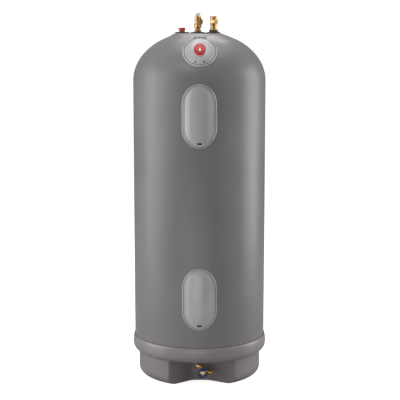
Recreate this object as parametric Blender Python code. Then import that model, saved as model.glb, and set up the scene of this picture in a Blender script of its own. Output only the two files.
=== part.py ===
"""A tall, dome-topped electric tank water heater with a plastic jacket on a moulded pedestal.

Metres, +Z up, the origin on the floor under the heater's axis. The front, with its covers and
its drain valve, faces -Y. Each object is one piece of the heater, and each hollow piece is open.
"""

import math

import bmesh
import bpy
from mathutils import Matrix, Vector

# ---------------------------------------------------------------- driving dimensions
RING = 32  # facets round the jacket, the foam and the pedestal, so that nested walls keep their gap
TANK_RING = 24
GAP = 0.0004  # clearance between touching pieces

BODY_R = 0.293
JACKET_WALL = 0.004
JACKET_BOTTOM = 0.1355
DOME_Z = 1.3288  # where the straight side ends and the dome begins
DOME_RISE = 0.2155
DOME_FLAT_R = 0.128
DOME_STEPS = 6
TOP_Z = 1.5355  # the flat boss that carries the water fittings
BOSS_R = 0.106
BOSS_FOOT_R = 0.124
PORT_SHIFT = -0.007  # the boss and its row of ports sit a little left of the axis
PORT_PITCH = 0.070
PORT_X = {"hot": PORT_SHIFT - PORT_PITCH, "relief": PORT_SHIFT, "cold": PORT_SHIFT + PORT_PITCH}

SKIRT_R = 0.2745
RIM_R = 0.3008
RIM_TOP = 0.1836
DECK_Z = 0.1265
DECK_TOP = 0.1345
FOOT_ROUND = 0.036
PEDESTAL_WALL = 0.0055

BAY_BACK_Y = -0.155
BAY_CEILING = 0.1105
BAY_BACK_X = (-0.034, 0.040)
BAY_MOUTH = ((-0.150, -0.2516), (0.1757, -0.2349))  # points beyond the skirt, on the bay's side walls
BAY_WALL = 0.005

TANK_R = 0.2205  # inside the liner
LINER_WALL = 0.003
WINDING_WALL = 0.0052
TANK_BOTTOM = 0.150
BOWL_RISE = 0.110
TANK_DOME_Z = 1.347
TANK_DOME_RISE = 0.130
TANK_FLAT_R = 0.118
WINDING_R = TANK_R + LINER_WALL + GAP + WINDING_WALL

COVER_W = 0.150
COVER_H = 0.2725
COVER_Z = {"upper": 1.1933, "lower": 0.4010}
END_RISE = 1.16  # how much taller than half circles the covers' ends are
OPENING_W = 0.130
OPENING_H = 0.2525
WELL_W = 0.140
WELL_H = 0.2625
WELL_WALL = 0.003
ELEMENT_DROP = 0.075  # the element sits this far below its cover's middle
THERMOSTAT_Z = {"upper": COVER_Z["upper"] + 0.012, "lower": COVER_Z["lower"] + 0.012}
THERMOSTAT_BACK = -0.2300
THERMOSTAT_DEPTH = 0.022
DIAL_X = 0.011
DIAL_R = 0.0068

JUNCTION_MID = Vector((0.0022, -0.2120, 1.4575))  # middle of the junction cover's edge plane
JUNCTION_TILT = math.radians(48.3)
SCREW_AT = (0.0186, -0.0642, 0.0084)  # across, up the slope and out, from the junction cover's middle
SCREW_LEAN = math.radians(17)
JUNCTION_SIZE = (0.075, 0.0864)  # half width, and half height up the slope
BOX_SIZE = (0.062, 0.058)
BOX_DEPTH = 0.034

PIPE_R = 0.01335  # 3/4 inch taper thread
GROMMET_TOP = TOP_Z + 0.0045
INSERT_TOP = TOP_Z - 0.005
THREAD_FOOT = TOP_Z - 0.028
INSERT_BORE = 0.0144  # its facets stay clear of the threads
LINER_TOP = TANK_DOME_Z + TANK_DOME_RISE * math.sqrt(1 - (TANK_FLAT_R / TANK_R) ** 2)
OUTLET_Z = TOP_Z + 0.0485  # the relief valve's side outlet
RELIEF_YAW = math.radians(-12)

VALVE = Vector((0.0150, -0.205, 0.0585))  # where the drain valve's passage meets its stem
INLET_ANGLE = math.radians(133)
OUTLET_ANGLE = math.radians(-14)
ELBOW_REACH = 0.031
ELBOW_LEG = 0.0150
ELBOW = VALVE + Vector((ELBOW_REACH * math.cos(INLET_ANGLE), 0, ELBOW_REACH * math.sin(INLET_ANGLE)))
WHEEL_R = 0.0204
WHEEL_TUBE = 0.0036

RELIEF_PIN_Z = TOP_Z + 0.0813
CAM_HEIGHT = 0.0040
CAM_RISE = 0.0040 / math.radians(80)  # metres of stem lift per radian of lever

CONDUIT_AT = (0.028, -0.062)
DUCT_Z = 1.479
CHANNEL_X = 0.024
CHANNEL_Y = (-0.268, -0.238)

MATERIALS = {
    "jacket_plastic": ((0.20, 0.195, 0.195), 0.42, 0.0),
    "pedestal_plastic": ((0.19, 0.183, 0.183), 0.45, 0.0),
    "cover_plastic": ((0.32, 0.32, 0.325), 0.35, 0.0),
    "black_rubber": ((0.02, 0.02, 0.02), 0.7, 0.0),
    "foam": ((0.72, 0.58, 0.30), 0.9, 0.0),
    "liner_plastic": ((0.55, 0.57, 0.60), 0.5, 0.0),
    "fibreglass": ((0.45, 0.50, 0.35), 0.45, 0.0),
    "brass": ((0.62, 0.41, 0.16), 0.3, 1.0),
    "dark_bushing": ((0.05, 0.045, 0.04), 0.5, 0.0),
    "steel": ((0.55, 0.55, 0.56), 0.3, 1.0),
    "sheath": ((0.35, 0.33, 0.31), 0.4, 1.0),
    "red_plastic": ((0.60, 0.03, 0.02), 0.4, 0.0),
    "blue_enamel": ((0.01, 0.02, 0.22), 0.3, 0.0),
    "white_plastic": ((0.75, 0.75, 0.72), 0.5, 0.0),
    "black_plastic": ((0.03, 0.03, 0.032), 0.5, 0.0),
    "wire_black": ((0.02, 0.02, 0.02), 0.5, 0.0),
    "wire_red": ((0.5, 0.02, 0.02), 0.5, 0.0),
    "wire_green": ((0.02, 0.25, 0.05), 0.5, 0.0),
    "wire_blue": ((0.02, 0.06, 0.4), 0.5, 0.0),
    "wire_yellow": ((0.6, 0.45, 0.03), 0.5, 0.0),
}


# ---------------------------------------------------------------- helpers
def clear_scene():
    for obj in list(bpy.data.objects):
        bpy.data.objects.remove(obj)


def material(name):
    found = bpy.data.materials.get(name)
    if found:
        return found
    colour, roughness, metallic = MATERIALS[name]
    made = bpy.data.materials.new(name)
    made.use_nodes = True
    shader = made.node_tree.nodes["Principled BSDF"]
    shader.inputs["Base Color"].default_value = (*colour, 1)
    shader.inputs["Roughness"].default_value = roughness
    shader.inputs["Metallic"].default_value = metallic
    return made


def finish(name, shape, finish_name, place=None):
    """Turns a bmesh into a named object whose faces point out."""
    bmesh.ops.remove_doubles(shape, verts=shape.verts, dist=1e-6)
    bmesh.ops.dissolve_degenerate(shape, edges=shape.edges, dist=1e-7)
    bmesh.ops.recalc_face_normals(shape, faces=shape.faces)
    if shape.calc_volume(signed=True) < 0:
        bmesh.ops.reverse_faces(shape, faces=shape.faces)
    if place is not None:
        bmesh.ops.transform(shape, matrix=place, verts=shape.verts)
    mesh = bpy.data.meshes.new(name)
    shape.to_mesh(mesh)
    shape.free()
    mesh.shade_smooth()
    mesh.set_sharp_from_angle(angle=math.radians(35))
    obj = bpy.data.objects.new(name, mesh)
    if finish_name:
        mesh.materials.append(material(finish_name))
    bpy.context.scene.collection.objects.link(obj)
    return obj


def lathe(name, profile, finish_name=None, segments=RING, place=None):
    """A solid turned about Z. A profile that starts on the axis ends there; others are closed rings."""
    shape = bmesh.new()
    points = [shape.verts.new((r, 0, z)) for r, z in profile]
    ends = points[1:] if profile[0][0] == 0 else points[1:] + points[:1]
    edges = [shape.edges.new(pair) for pair in zip(points, ends)]
    bmesh.ops.spin(
        shape, geom=points + edges, axis=(0, 0, 1), cent=(0, 0, 0), steps=segments, angle=2 * math.pi
    )
    return finish(name, shape, finish_name, place)


def prism(name, outline, low, high, finish_name=None, place=None):
    """An outline of (x, y) points extruded along Z from low to high."""
    shape = bmesh.new()
    face = shape.faces.new([shape.verts.new((x, y, low)) for x, y in outline])
    made = bmesh.ops.extrude_face_region(shape, geom=[face])
    top = [item for item in made["geom"] if isinstance(item, bmesh.types.BMVert)]
    bmesh.ops.translate(shape, vec=(0, 0, high - low), verts=top)
    return finish(name, shape, finish_name, place)


def box(name, low, high, finish_name=None, bevel=0.0):
    shape = bmesh.new()
    size = Vector(high) - Vector(low)
    centre = (Vector(high) + Vector(low)) / 2
    bmesh.ops.create_cube(shape, size=1, matrix=Matrix.Translation(centre) @ Matrix.Diagonal((*size, 1)))
    if bevel:
        bmesh.ops.bevel(shape, geom=shape.edges[:], offset=bevel, segments=1, affect="EDGES")
    return finish(name, shape, finish_name)


def sweep(name, path, radius, finish_name=None, sides=8, bore=0.0):
    """A round bar, or with a bore a tube, along a list of points."""
    shape = bmesh.new()
    points = [Vector(p) for p in path]
    count = len(points)
    tangents = [(points[min(i + 1, count - 1)] - points[max(i - 1, 0)]).normalized() for i in range(count)]
    side = tangents[0].orthogonal().normalized()
    outer, inner = [], []
    for point, tangent in zip(points, tangents):
        side = (side - tangent * side.dot(tangent)).normalized()
        across = tangent.cross(side)
        turns = [2 * math.pi * k / sides for k in range(sides)]
        spokes = [side * math.cos(t) + across * math.sin(t) for t in turns]
        outer.append([shape.verts.new(point + s * radius) for s in spokes])
        if bore:
            inner.append([shape.verts.new(point + s * bore) for s in spokes])
    for rings in filter(None, (outer, inner)):
        for a, b in zip(rings, rings[1:]):
            for k in range(sides):
                shape.faces.new((a[k], a[(k + 1) % sides], b[(k + 1) % sides], b[k]))
    for end in (0, -1):
        if not bore:
            shape.faces.new(outer[end])
            continue
        for k in range(sides):
            n = (k + 1) % sides
            shape.faces.new((outer[end][k], outer[end][n], inner[end][n], inner[end][k]))
    return finish(name, shape, finish_name)


def smooth_path(knots, steps):
    """Points on a Catmull-Rom curve through the knots."""
    knots = [Vector(k) for k in knots]
    padded = [2 * knots[0] - knots[1], *knots, 2 * knots[-1] - knots[-2]]
    found = [knots[0]]
    for a, b, c, d in zip(padded, padded[1:], padded[2:], padded[3:]):
        bend = 2 * a - 5 * b + 4 * c - d
        twist = 3 * b - a - 3 * c + d
        for i in range(1, steps + 1):
            t = i / steps
            found.append(b + ((c - a) * t + bend * t**2 + twist * t**3) / 2)
    return found


def helix(centre, radius, low, high, turns, per_turn=8):
    count = round(turns * per_turn)
    return [
        centre
        + Vector(
            (
                radius * math.cos(2 * math.pi * i / per_turn),
                radius * math.sin(2 * math.pi * i / per_turn),
                low + (high - low) * i / count,
            )
        )
        for i in range(count + 1)
    ]


def arc(centre, radii, start, end, steps):
    """Points on an ellipse's arc, angles in degrees."""
    angles = [math.radians(start + (end - start) * i / steps) for i in range(steps + 1)]
    return [(centre[0] + radii[0] * math.cos(a), centre[1] + radii[1] * math.sin(a)) for a in angles]


def stadium(width, height, middle=(0, 0), steps=8):
    """An upright rounded slot, its ends half ellipses."""
    r = width / 2
    end = r * END_RISE
    rise = height / 2 - end
    top = arc((middle[0], middle[1] + rise), (r, end), 0, 180, steps)
    return top + arc((middle[0], middle[1] - rise), (r, end), 180, 360, steps)


def hexagon(across_flats):
    r = across_flats / math.sqrt(3)
    return arc((0, 0), (r, r), 0, 300, 5)


def modifier(obj, other, operation):
    made = obj.modifiers.new(operation.lower(), "BOOLEAN")
    made.operation = operation
    made.object = other
    made.solver = "EXACT"
    other.hide_render = True
    other.display_type = "WIRE"
    return obj


def cut(obj, *others):
    for other in others:
        modifier(obj, other, "DIFFERENCE")
    return obj


def join(obj, *others):
    for other in others:
        modifier(obj, other, "UNION")
    return obj


def common(obj, other):
    return modifier(obj, other, "INTERSECT")


FACING = Matrix.Rotation(math.pi / 2, 4, "X")  # turns an outline in (x, z) and a depth towards -Y


def at(x, y, z):
    return Matrix.Translation((x, y, z))


def junction_frame():
    """Local +Z leaves the dome square to the junction cover, and local +Y runs up the slope."""
    normal = Vector((0, -math.cos(JUNCTION_TILT), math.sin(JUNCTION_TILT)))
    upslope = Vector((0, math.sin(JUNCTION_TILT), math.cos(JUNCTION_TILT)))
    turn = Matrix((Vector((1, 0, 0)), upslope, normal)).transposed().to_4x4()
    return Matrix.Translation(JUNCTION_MID) @ turn


# ---------------------------------------------------------------- jacket, base, tank and foam
def dome_arc(offset):
    """The dome's line moved out by offset, its points at the same angles for every offset."""
    stop = math.degrees(math.acos(DOME_FLAT_R / BODY_R))
    return arc((0, DOME_Z), (BODY_R + offset, DOME_RISE + offset), 0, stop, DOME_STEPS)


def outer_jacket():
    wall = JACKET_WALL
    outside = dome_arc(0.0)
    inside = dome_arc(-wall)
    flat_out = outside[-1][1]
    flat_in = inside[-1][1]
    neck = BOSS_R - 0.012
    profile = [
        (BODY_R, JACKET_BOTTOM),
        *outside,
        (neck, flat_out),
        (neck, flat_in),
        *reversed(inside),
        (BODY_R - wall, JACKET_BOTTOM),
    ]
    jacket = lathe("outer_jacket", profile, "jacket_plastic")
    boss_profile = [
        (0, TOP_Z),
        (BOSS_R - 0.004, TOP_Z),
        (BOSS_R, TOP_Z - 0.002),
        (BOSS_FOOT_R, flat_out - 0.001),
        (BOSS_FOOT_R - 0.003, flat_in + 0.0008),
        (BOSS_R - 0.006, TOP_Z - wall),
        (0, TOP_Z - wall),
    ]
    boss = lathe("jacket_boss", boss_profile, segments=24, place=at(PORT_SHIFT, 0, 0))
    join(jacket, boss)
    for x in PORT_X.values():
        hole = cylinder_profile(0.0241, TOP_Z - 0.02, TOP_Z + 0.02)
        cut(jacket, lathe("port_hole", hole, segments=16, place=at(x, 0, 0)))
    cut(jacket, conduit_hole())
    for z in COVER_Z.values():
        opening = stadium(OPENING_W, OPENING_H, (0, z))
        cut(jacket, prism("cover_opening", outline=opening, low=0.20, high=0.34, place=FACING))
    oval = arc((0, 0), (BOX_SIZE[0] - 0.002, BOX_SIZE[1] - 0.002), 0, 345, 23)
    cut(jacket, prism("junction_opening", oval, -0.02, 0.05, place=junction_frame()))
    for side in (-1, 1):
        pilot = lathe("screw_pilot", cylinder_profile(0.0022, -0.02, 0.02), segments=8)
        pilot.data.transform(screw_frame(side))
        cut(jacket, pilot)
    return jacket


def cylinder_profile(radius, low, high):
    return [(0, low), (radius, low), (radius, high), (0, high)]


def conduit_hole():
    """The way in for the supply cable, from the boss down into the junction box."""
    profile = cylinder_profile(0.0113, DUCT_Z + 0.002, 1.60)
    return lathe("conduit_hole", profile, segments=12, place=at(*CONDUIT_AT, 0))


def cable_duct():
    """The way on, from under the knockout forward into the junction box."""
    x, y = CONDUIT_AT
    return box("cable_duct", (x - 0.009, -0.158, DUCT_Z), (x + 0.009, y + 0.008, DUCT_Z + 0.018))


def pedestal_bay(grow, low, high, name):
    """The drain bay's plan, grown outwards by a wall, as a prism."""
    (lx, ly), (rx, ry) = BAY_MOUTH
    back_l, back_r = BAY_BACK_X
    back_y = BAY_BACK_Y + grow
    left_out = Vector((ly - BAY_BACK_Y, -(lx - back_l))).normalized() * grow
    right_out = Vector((-(ry - BAY_BACK_Y), rx - back_r)).normalized() * grow
    outline = [
        (back_l - grow * 0.4, back_y),
        (back_r + grow * 0.4, back_y),
        (rx + right_out.x, ry + right_out.y),
        (rx + right_out.x, -0.33),
        (lx + left_out.x, -0.33),
        (lx + left_out.x, ly + left_out.y),
    ]
    return prism(name, outline, low, high)


def base_pedestal():
    """A round stool: skirt, rolled rim that cups the jacket, ribbed deck, and a bay for the drain valve."""
    wall = PEDESTAL_WALL
    foot_r = SKIRT_R - FOOT_ROUND
    inside_round = FOOT_ROUND - wall
    collar_r = BODY_R + 0.0008
    profile = [
        (foot_r, 0),
        *arc((foot_r, FOOT_ROUND), (FOOT_ROUND, FOOT_ROUND), -60, 0, 2),
        (SKIRT_R, 0.1115),
        *arc((SKIRT_R + 0.0040, 0.150), (RIM_R - SKIRT_R - 0.0040, 0.0345), -72, 0, 3),
        (RIM_R - 0.0010, RIM_TOP - 0.0186),
        (RIM_R - 0.0036, RIM_TOP - 0.0060),
        (RIM_R - 0.0056, RIM_TOP),
        (collar_r, RIM_TOP),
        (collar_r, DECK_TOP),
        (0.060, DECK_TOP),
        (0.060, DECK_Z),
        (SKIRT_R - wall, DECK_Z),
        *arc((foot_r, FOOT_ROUND), (inside_round, inside_round), 0, -60, 2),
        (foot_r - 0.002, wall),
        (foot_r - 0.012, wall),
        (foot_r - 0.012, 0),
    ]
    pedestal = lathe("base_pedestal", profile, "pedestal_plastic")
    ribs = 8
    for k in range(ribs):
        turn = Matrix.Rotation(2 * math.pi * (k + 0.5) / ribs, 4, "Z")
        rib = box("rib", (0.0605, -0.0025, 0.030), (SKIRT_R - wall + 0.002, 0.0025, DECK_Z + 0.002))
        rib.data.transform(turn)
        join(pedestal, rib)
    inner = FOOT_ROUND - 0.001
    limit = [
        (0, 0),
        (foot_r, 0),
        *arc((foot_r, FOOT_ROUND), (inner, inner), -60, 0, 2),
        (foot_r + inner, 0.2),
        (0, 0.2),
    ]
    liner = pedestal_bay(BAY_WALL, 0.0, BAY_CEILING + BAY_WALL, "bay_walls")
    join(pedestal, common(liner, lathe("bay_limit", limit)))
    cut(pedestal, pedestal_bay(0.0, -0.02, BAY_CEILING, "bay"))
    pass_through = lathe("drain_hole", cylinder_profile(0.0125, 0.02, 0.20), segments=16)
    pass_through.data.transform(at(ELBOW.x, -0.03, ELBOW.z) @ FACING)
    return cut(pedestal, pass_through)


def tank_profile(offset, from_axis):
    """Half the tank's outline, moved out by offset, from its bottom opening to its top flat."""
    r = TANK_R + offset
    bowl = arc((0, TANK_BOTTOM + BOWL_RISE), (r, BOWL_RISE + offset), -84, 0, 3)
    dome_stop = math.degrees(math.acos(TANK_FLAT_R / TANK_R))
    dome = arc((0, TANK_DOME_Z), (r, TANK_DOME_RISE + offset), 0, dome_stop, 2)
    top = dome[-1][1]
    return [(from_axis, bowl[0][1]), *bowl, *dome, (from_axis, top)]


def tank_shell(name, inner, outer, finish_name):
    """A wall of the tank between two offsets, open at the drain and at every port."""
    drain_r = 0.0135
    profile = tank_profile(outer, drain_r)[:-1]
    profile += [(0.005, profile[-1][1]), (0.005, tank_profile(inner, drain_r)[-1][1])]
    profile += list(reversed(tank_profile(inner, drain_r)[:-1]))
    shell = lathe(name, profile, finish_name, segments=TANK_RING)
    for x in PORT_X.values():
        hole = cylinder_profile(0.0228, 1.40, 1.50)
        cut(shell, lathe("tank_port_hole", hole, segments=12, place=at(x, 0, 0)))
    for z in COVER_Z.values():
        hole = cylinder_profile(0.0246, 0.19, 0.26)
        cut(shell, facing_lathe("tank_element_hole", hole, None, 0, z - ELEMENT_DROP, 12))
    return shell


def foam_insulation():
    outer = -JACKET_WALL - GAP
    outside = dome_arc(outer)
    inner = tank_profile(WINDING_R - TANK_R + 0.0015, 0.004)[1:]
    profile = [
        (BODY_R + outer, JACKET_BOTTOM),
        *outside,
        (0.004, outside[-1][1]),
        *reversed(inner),
        (inner[0][0], JACKET_BOTTOM),
    ]
    foam = lathe("foam_insulation", profile, "foam")
    for x in PORT_X.values():
        hole = cylinder_profile(0.0228, 1.40, 1.60)
        cut(foam, lathe("foam_port_hole", hole, segments=12, place=at(x, 0, 0)))
    cut(foam, conduit_hole(), cable_duct())
    for z in COVER_Z.values():
        hole = stadium(WELL_W + 2 * GAP, WELL_H + 2 * GAP, (0, z))
        cut(foam, prism("foam_well_hole", hole, 0.15, 0.34, place=FACING))
    oval = arc((0, 0), (BOX_SIZE[0] + GAP, BOX_SIZE[1] + GAP), 0, 345, 23)
    cut(foam, prism("foam_box_hole", oval, -BOX_DEPTH - GAP, 0.06, place=junction_frame()))
    cut(foam, wire_channel())
    return foam


def wire_channel():
    """The duct that takes the wires from the junction box down past the upper well to the lower one."""
    low = COVER_Z["lower"] + WELL_H / 2 - 0.018
    return box("wire_channel", (-CHANNEL_X, CHANNEL_Y[0], low), (CHANNEL_X, CHANNEL_Y[1], 1.424))


# ---------------------------------------------------------------- access wells and covers
def access_well(which):
    """The dam that keeps the foam off one element and its thermostat."""
    z = COVER_Z[which]
    well = lathe(
        which + "_access_well",
        [
            (WINDING_R + 0.0015, z - 0.15),
            (BODY_R - JACKET_WALL - GAP, z - 0.15),
            (BODY_R - JACKET_WALL - GAP, z + 0.15),
            (WINDING_R + 0.0015, z + 0.15),
        ],
        "white_plastic",
    )
    common(well, prism("well_outside", stadium(WELL_W, WELL_H, (0, z)), 0.15, 0.34, place=FACING))
    inside = stadium(WELL_W - 2 * WELL_WALL, WELL_H - 2 * WELL_WALL, (0, z))
    cut(well, prism("well_inside", inside, 0.10, 0.36, place=FACING))
    return cut(well, wire_channel())


def access_cover(which):
    """A snap-in cover: a flange on the jacket, a raised panel, a plug ring behind, and a latch slot."""
    z = COVER_Z[which]

    def shell(name, low, high, width, height, finish_name=None):
        band = [(low, z - 0.16), (high, z - 0.16), (high, z + 0.16), (low, z + 0.16)]
        edge = prism(name + "_edge", stadium(width, height, (0, z)), 0.15, 0.34, place=FACING)
        return common(lathe(name, band, finish_name), edge)

    cover = shell(which + "_access_cover", BODY_R + GAP, BODY_R + 0.0032, COVER_W, COVER_H, "cover_plastic")
    join(cover, shell("panel", BODY_R + 0.0010, BODY_R + 0.0058, COVER_W - 0.017, COVER_H - 0.017))
    plug = shell("plug", 0.282, BODY_R + 0.0015, OPENING_W - 0.004, OPENING_H - 0.004)
    inside = stadium(OPENING_W - 0.009, OPENING_H - 0.009, (0, z))
    cut(plug, prism("plug_inside", inside, 0.20, 0.36, place=FACING))
    join(cover, plug)
    slot_z = z - COVER_H / 2 + 0.0203
    return cut(cover, box("latch_slot", (-0.009, -0.32, slot_z - 0.0035), (0.009, -0.27, slot_z + 0.0035)))


# ---------------------------------------------------------------- junction box on the dome
def dome_shell(name, low, high, finish_name=None):
    """A band of the dome between two offsets from the jacket's outside."""
    return lathe(name, [*dome_arc(high), *reversed(dome_arc(low))], finish_name)


def oval(half_width, half_height):
    return arc((0, 0), (half_width, half_height), 0, 345, 23)


def junction_box():
    limit = -JACKET_WALL - GAP
    inner_dome = [(0, 1.30), (BODY_R + limit, 1.30), *dome_arc(limit)]
    inner_dome += [(0, inner_dome[-1][1])]
    tub = prism("junction_box", oval(*BOX_SIZE), -BOX_DEPTH, 0.05, "black_plastic", junction_frame())
    common(tub, lathe("box_limit", inner_dome))
    inside = oval(BOX_SIZE[0] - WELL_WALL, BOX_SIZE[1] - WELL_WALL)
    cut(tub, prism("box_inside", inside, WELL_WALL - BOX_DEPTH, 0.06, place=junction_frame()))
    return cut(tub, wire_channel(), cable_duct())


def screw_frame(side):
    """Where a junction screw's head rests on the jacket, its axis square to the dome there."""
    x, y, z = SCREW_AT
    return junction_frame() @ at(side * x, y, z) @ Matrix.Rotation(SCREW_LEAN, 4, "X")


def junction_cover():
    frame = junction_frame()
    cover = dome_shell("junction_cover", GAP, 0.0032, "cover_plastic")
    common(cover, prism("cover_edge", oval(*JUNCTION_SIZE), -0.03, 0.06, place=frame))
    panel = dome_shell("junction_panel", 0.0010, 0.0058)
    panel_size = [half - 0.0085 for half in JUNCTION_SIZE]
    common(panel, prism("panel_edge", oval(*panel_size), -0.03, 0.06, place=frame))
    join(cover, panel)
    for side in (-1, 1):
        hole = lathe("screw_hole", cylinder_profile(0.0040, -0.03, 0.06), segments=12)
        hole.data.transform(screw_frame(side))
        cut(cover, hole)
    return cover


def cover_badge():
    badge = dome_shell("cover_badge", 0.0058 + GAP, 0.0090, "red_plastic")
    rim = prism("badge_edge", oval(0.0278, 0.0410), -0.03, 0.06, place=junction_frame() @ at(0, -0.001, 0))
    return common(badge, rim)


def junction_screw(side, name):
    """A pan-head screw sunk in its hole in the junction cover."""
    profile = [(0, -0.0045), (0.0018, -0.0038), (0.0018, 0), (0.0035, 0), (0.0035, 0.0022), (0, 0.0028)]
    screw = lathe(name, profile, "black_plastic", segments=12)
    screw.data.transform(screw_frame(side))
    return screw


# ---------------------------------------------------------------- water fittings on the top boss
def port_insert(which):
    """The threaded insert moulded into the tank's top: a flange inside, a neck up to the boss."""
    profile = [
        (0.0105, LINER_TOP - 0.007),
        (0.0300, LINER_TOP - 0.007),
        (0.0300, LINER_TOP - 0.001),
        (0.0223, LINER_TOP - 0.001),
        (0.0223, INSERT_TOP),
        (INSERT_BORE, INSERT_TOP),
        (INSERT_BORE, THREAD_FOOT - 0.0045),
        (0.0105, THREAD_FOOT - 0.0045),
    ]
    return lathe(which + "_port_insert", profile, "brass", segments=12, place=at(PORT_X[which], 0, 0))


def port_grommet(which):
    bore = PIPE_R + 0.0007
    profile = [
        (bore, INSERT_TOP + 0.0005),
        (0.0236, INSERT_TOP + 0.0005),
        (0.0236, TOP_Z + GAP),
        (0.0300, TOP_Z + GAP),
        (0.0300, TOP_Z + 0.0032),
        (0.0285, GROMMET_TOP),
        (bore, GROMMET_TOP),
    ]
    here = at(PORT_X[which], 0, 0)
    return lathe(which + "_port_grommet", profile, "black_rubber", segments=16, place=here)


def hot_outlet():
    x = PORT_X["hot"]
    top = TOP_Z + 0.0205
    nipple = [(0.0103, THREAD_FOOT), (PIPE_R, THREAD_FOOT), (PIPE_R, top), (0.0103, top)]
    lathe("hot_outlet_nipple", nipple, "brass", segments=20, place=at(x, 0, 0))
    low, cap_top = TOP_Z + 0.0128, TOP_Z + 0.0228
    cap = [
        (PIPE_R + GAP, low),
        (0.0148, low),
        (0.0148, cap_top - 0.0042),
        (0.0157, cap_top - 0.0036),
        (0.0157, cap_top - 0.0008),
        (0.0150, cap_top),
        (0, cap_top),
    ]
    cap = [(0, top + GAP), (PIPE_R + GAP, top + GAP), *cap]
    lathe("hot_outlet_cap", cap, "red_plastic", segments=20, place=at(x, 0, 0))


def relief_valve():
    """The temperature and pressure relief valve, with its side outlet facing the back."""
    here = at(PORT_X["relief"], 0, 0)
    hex_low, hex_high, barrel_top, cap_top = (TOP_Z + rise for rise in (0.0228, 0.0407, 0.0640, 0.0770))
    seat = TOP_Z + 0.0370
    body = [
        (0, THREAD_FOOT),
        (PIPE_R, THREAD_FOOT),
        (PIPE_R, GROMMET_TOP + GAP),
        (0.0145, GROMMET_TOP + GAP),
        (0.0145, TOP_Z + 0.0130),
        (0.0120, TOP_Z + 0.0145),
        (0.0120, hex_low),
        (0.0170, hex_low + 0.003),
        (0.0170, hex_high - 0.004),
        (0.0140, hex_high),
        (0.0140, barrel_top),
        (0, barrel_top),
    ]
    valve = lathe("relief_valve_body", body, "brass", segments=16, place=here)
    to_back = Matrix.Rotation(RELIEF_YAW, 4, "Z") @ Matrix.Rotation(-math.pi / 2, 4, "X")
    turn = here @ at(0, 0, OUTLET_Z) @ to_back
    outlet = [(0, 0.006), (0.0150, 0.006), (0.0150, 0.016), (0.0165, 0.018), (0.0165, 0.036), (0, 0.036)]
    join(valve, lathe("relief_spout", outlet, segments=16, place=turn))
    passage = [
        (0, THREAD_FOOT - 0.01),
        (0.0095, THREAD_FOOT - 0.01),
        (0.0095, seat - 0.006),
        (0.0072, seat - 0.004),
        (0.0072, seat),
        (0.0105, seat),
        (0.0105, barrel_top + 0.01),
        (0, barrel_top + 0.01),
    ]
    bore = [(0, 0.003), (0.0088, 0.003), (0.0088, 0.020), (0.0128, 0.020), (0.0128, 0.050), (0, 0.050)]
    passage_bore = lathe("relief_passage", passage, segments=16, place=here)
    cut(valve, join(passage_bore, lathe("relief_bore", bore, segments=12, place=turn)))
    bonnet = [
        (0.0032, cap_top),
        (0.0032, cap_top - 0.003),
        (0.0105, cap_top - 0.003),
        (0.0105, barrel_top + GAP),
        (0.0140, barrel_top + GAP),
        (0.0140, cap_top - 0.001),
        (0.0130, cap_top),
    ]
    lathe("relief_bonnet", bonnet, "brass", segments=20, place=here)
    relief_moving(here, seat, cap_top)
    neck = TOP_Z - 0.035
    probe = [
        (0, 1.340),
        (0.0055, 1.344),
        (0.0055, neck),
        (0.0075, neck + 0.005),
        (0.0075, TOP_Z + 0.020),
        (0, TOP_Z + 0.020),
    ]
    lathe("relief_probe", probe, "white_plastic", segments=12, place=here)


def relief_moving(here, seat, cap_top):
    """The stem with its disc, the spring over the disc, the pin, and the test lever with its cam."""
    disc = seat + GAP
    stem = [
        (0, disc),
        (0.0092, disc),
        (0.0092, disc + 0.0035),
        (0.0028, disc + 0.0045),
        (0.0028, RELIEF_PIN_Z + 0.0026),
        (0, RELIEF_PIN_Z + 0.0026),
    ]
    rod = lathe("relief_stem", stem, "steel", segments=12, place=here)
    eye = lathe("stem_eye", cylinder_profile(0.0013, -0.01, 0.01), segments=12)
    eye.data.transform(at(PORT_X["relief"], 0, RELIEF_PIN_Z) @ FACING)
    cut(rod, eye)
    coil = helix(Vector((PORT_X["relief"], 0, 0)), 0.0072, disc + 0.0050, cap_top - 0.0045, 5)
    sweep("relief_spring", coil, 0.0009, "steel", sides=4)
    pin = lathe("relief_lever_pin", cylinder_profile(0.0010, -0.0072, 0.0072), "steel", segments=10)
    pin.data.transform(at(PORT_X["relief"], 0, RELIEF_PIN_Z) @ FACING)
    relief_lever()


def cam_outline():
    """A cheek whose height under the pin grows evenly as it turns, so that it lifts the stem evenly."""
    outline = []
    steps = 8
    for i in range(steps + 1):
        a = math.radians(80) * i / steps
        reach = CAM_HEIGHT - GAP / 2 + CAM_RISE * a
        down = Vector((-math.sin(a), -math.cos(a)))
        along = Vector((-math.cos(a), math.sin(a)))
        outline.append(tuple(down * reach + along * CAM_RISE))
    outline += [
        (-0.0062, 0.0035),
        (-0.0035, 0.0050),
        (0.0070, 0.0050),
        (0.0100, -0.0005),
        (0.0060, -0.0037),
    ]
    return outline


def relief_lever():
    """Two cam cheeks on the pin, bridged by a flat tail that reaches out to the right."""
    home = at(PORT_X["relief"], 0, RELIEF_PIN_Z) @ FACING
    lever = prism("relief_lever", cam_outline(), 0.0036, 0.0054, "steel", home)
    join(lever, prism("far_cheek", cam_outline(), -0.0054, -0.0036, None, home))
    tail = [
        (0.0042, 0.0034),
        (0.0042, 0.0050),
        (0.0120, 0.0050),
        (0.0210, 0.0020),
        (0.0275, -0.0030),
        (0.0262, -0.0040),
        (0.0203, 0.0005),
        (0.0115, 0.0034),
    ]
    join(lever, prism("tail", tail, -0.0050, 0.0050, None, home))
    eye = lathe("lever_eye", cylinder_profile(0.0013, -0.02, 0.02), segments=12)
    eye.data.transform(at(PORT_X["relief"], 0, RELIEF_PIN_Z) @ FACING)
    return cut(lever, eye)


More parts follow.
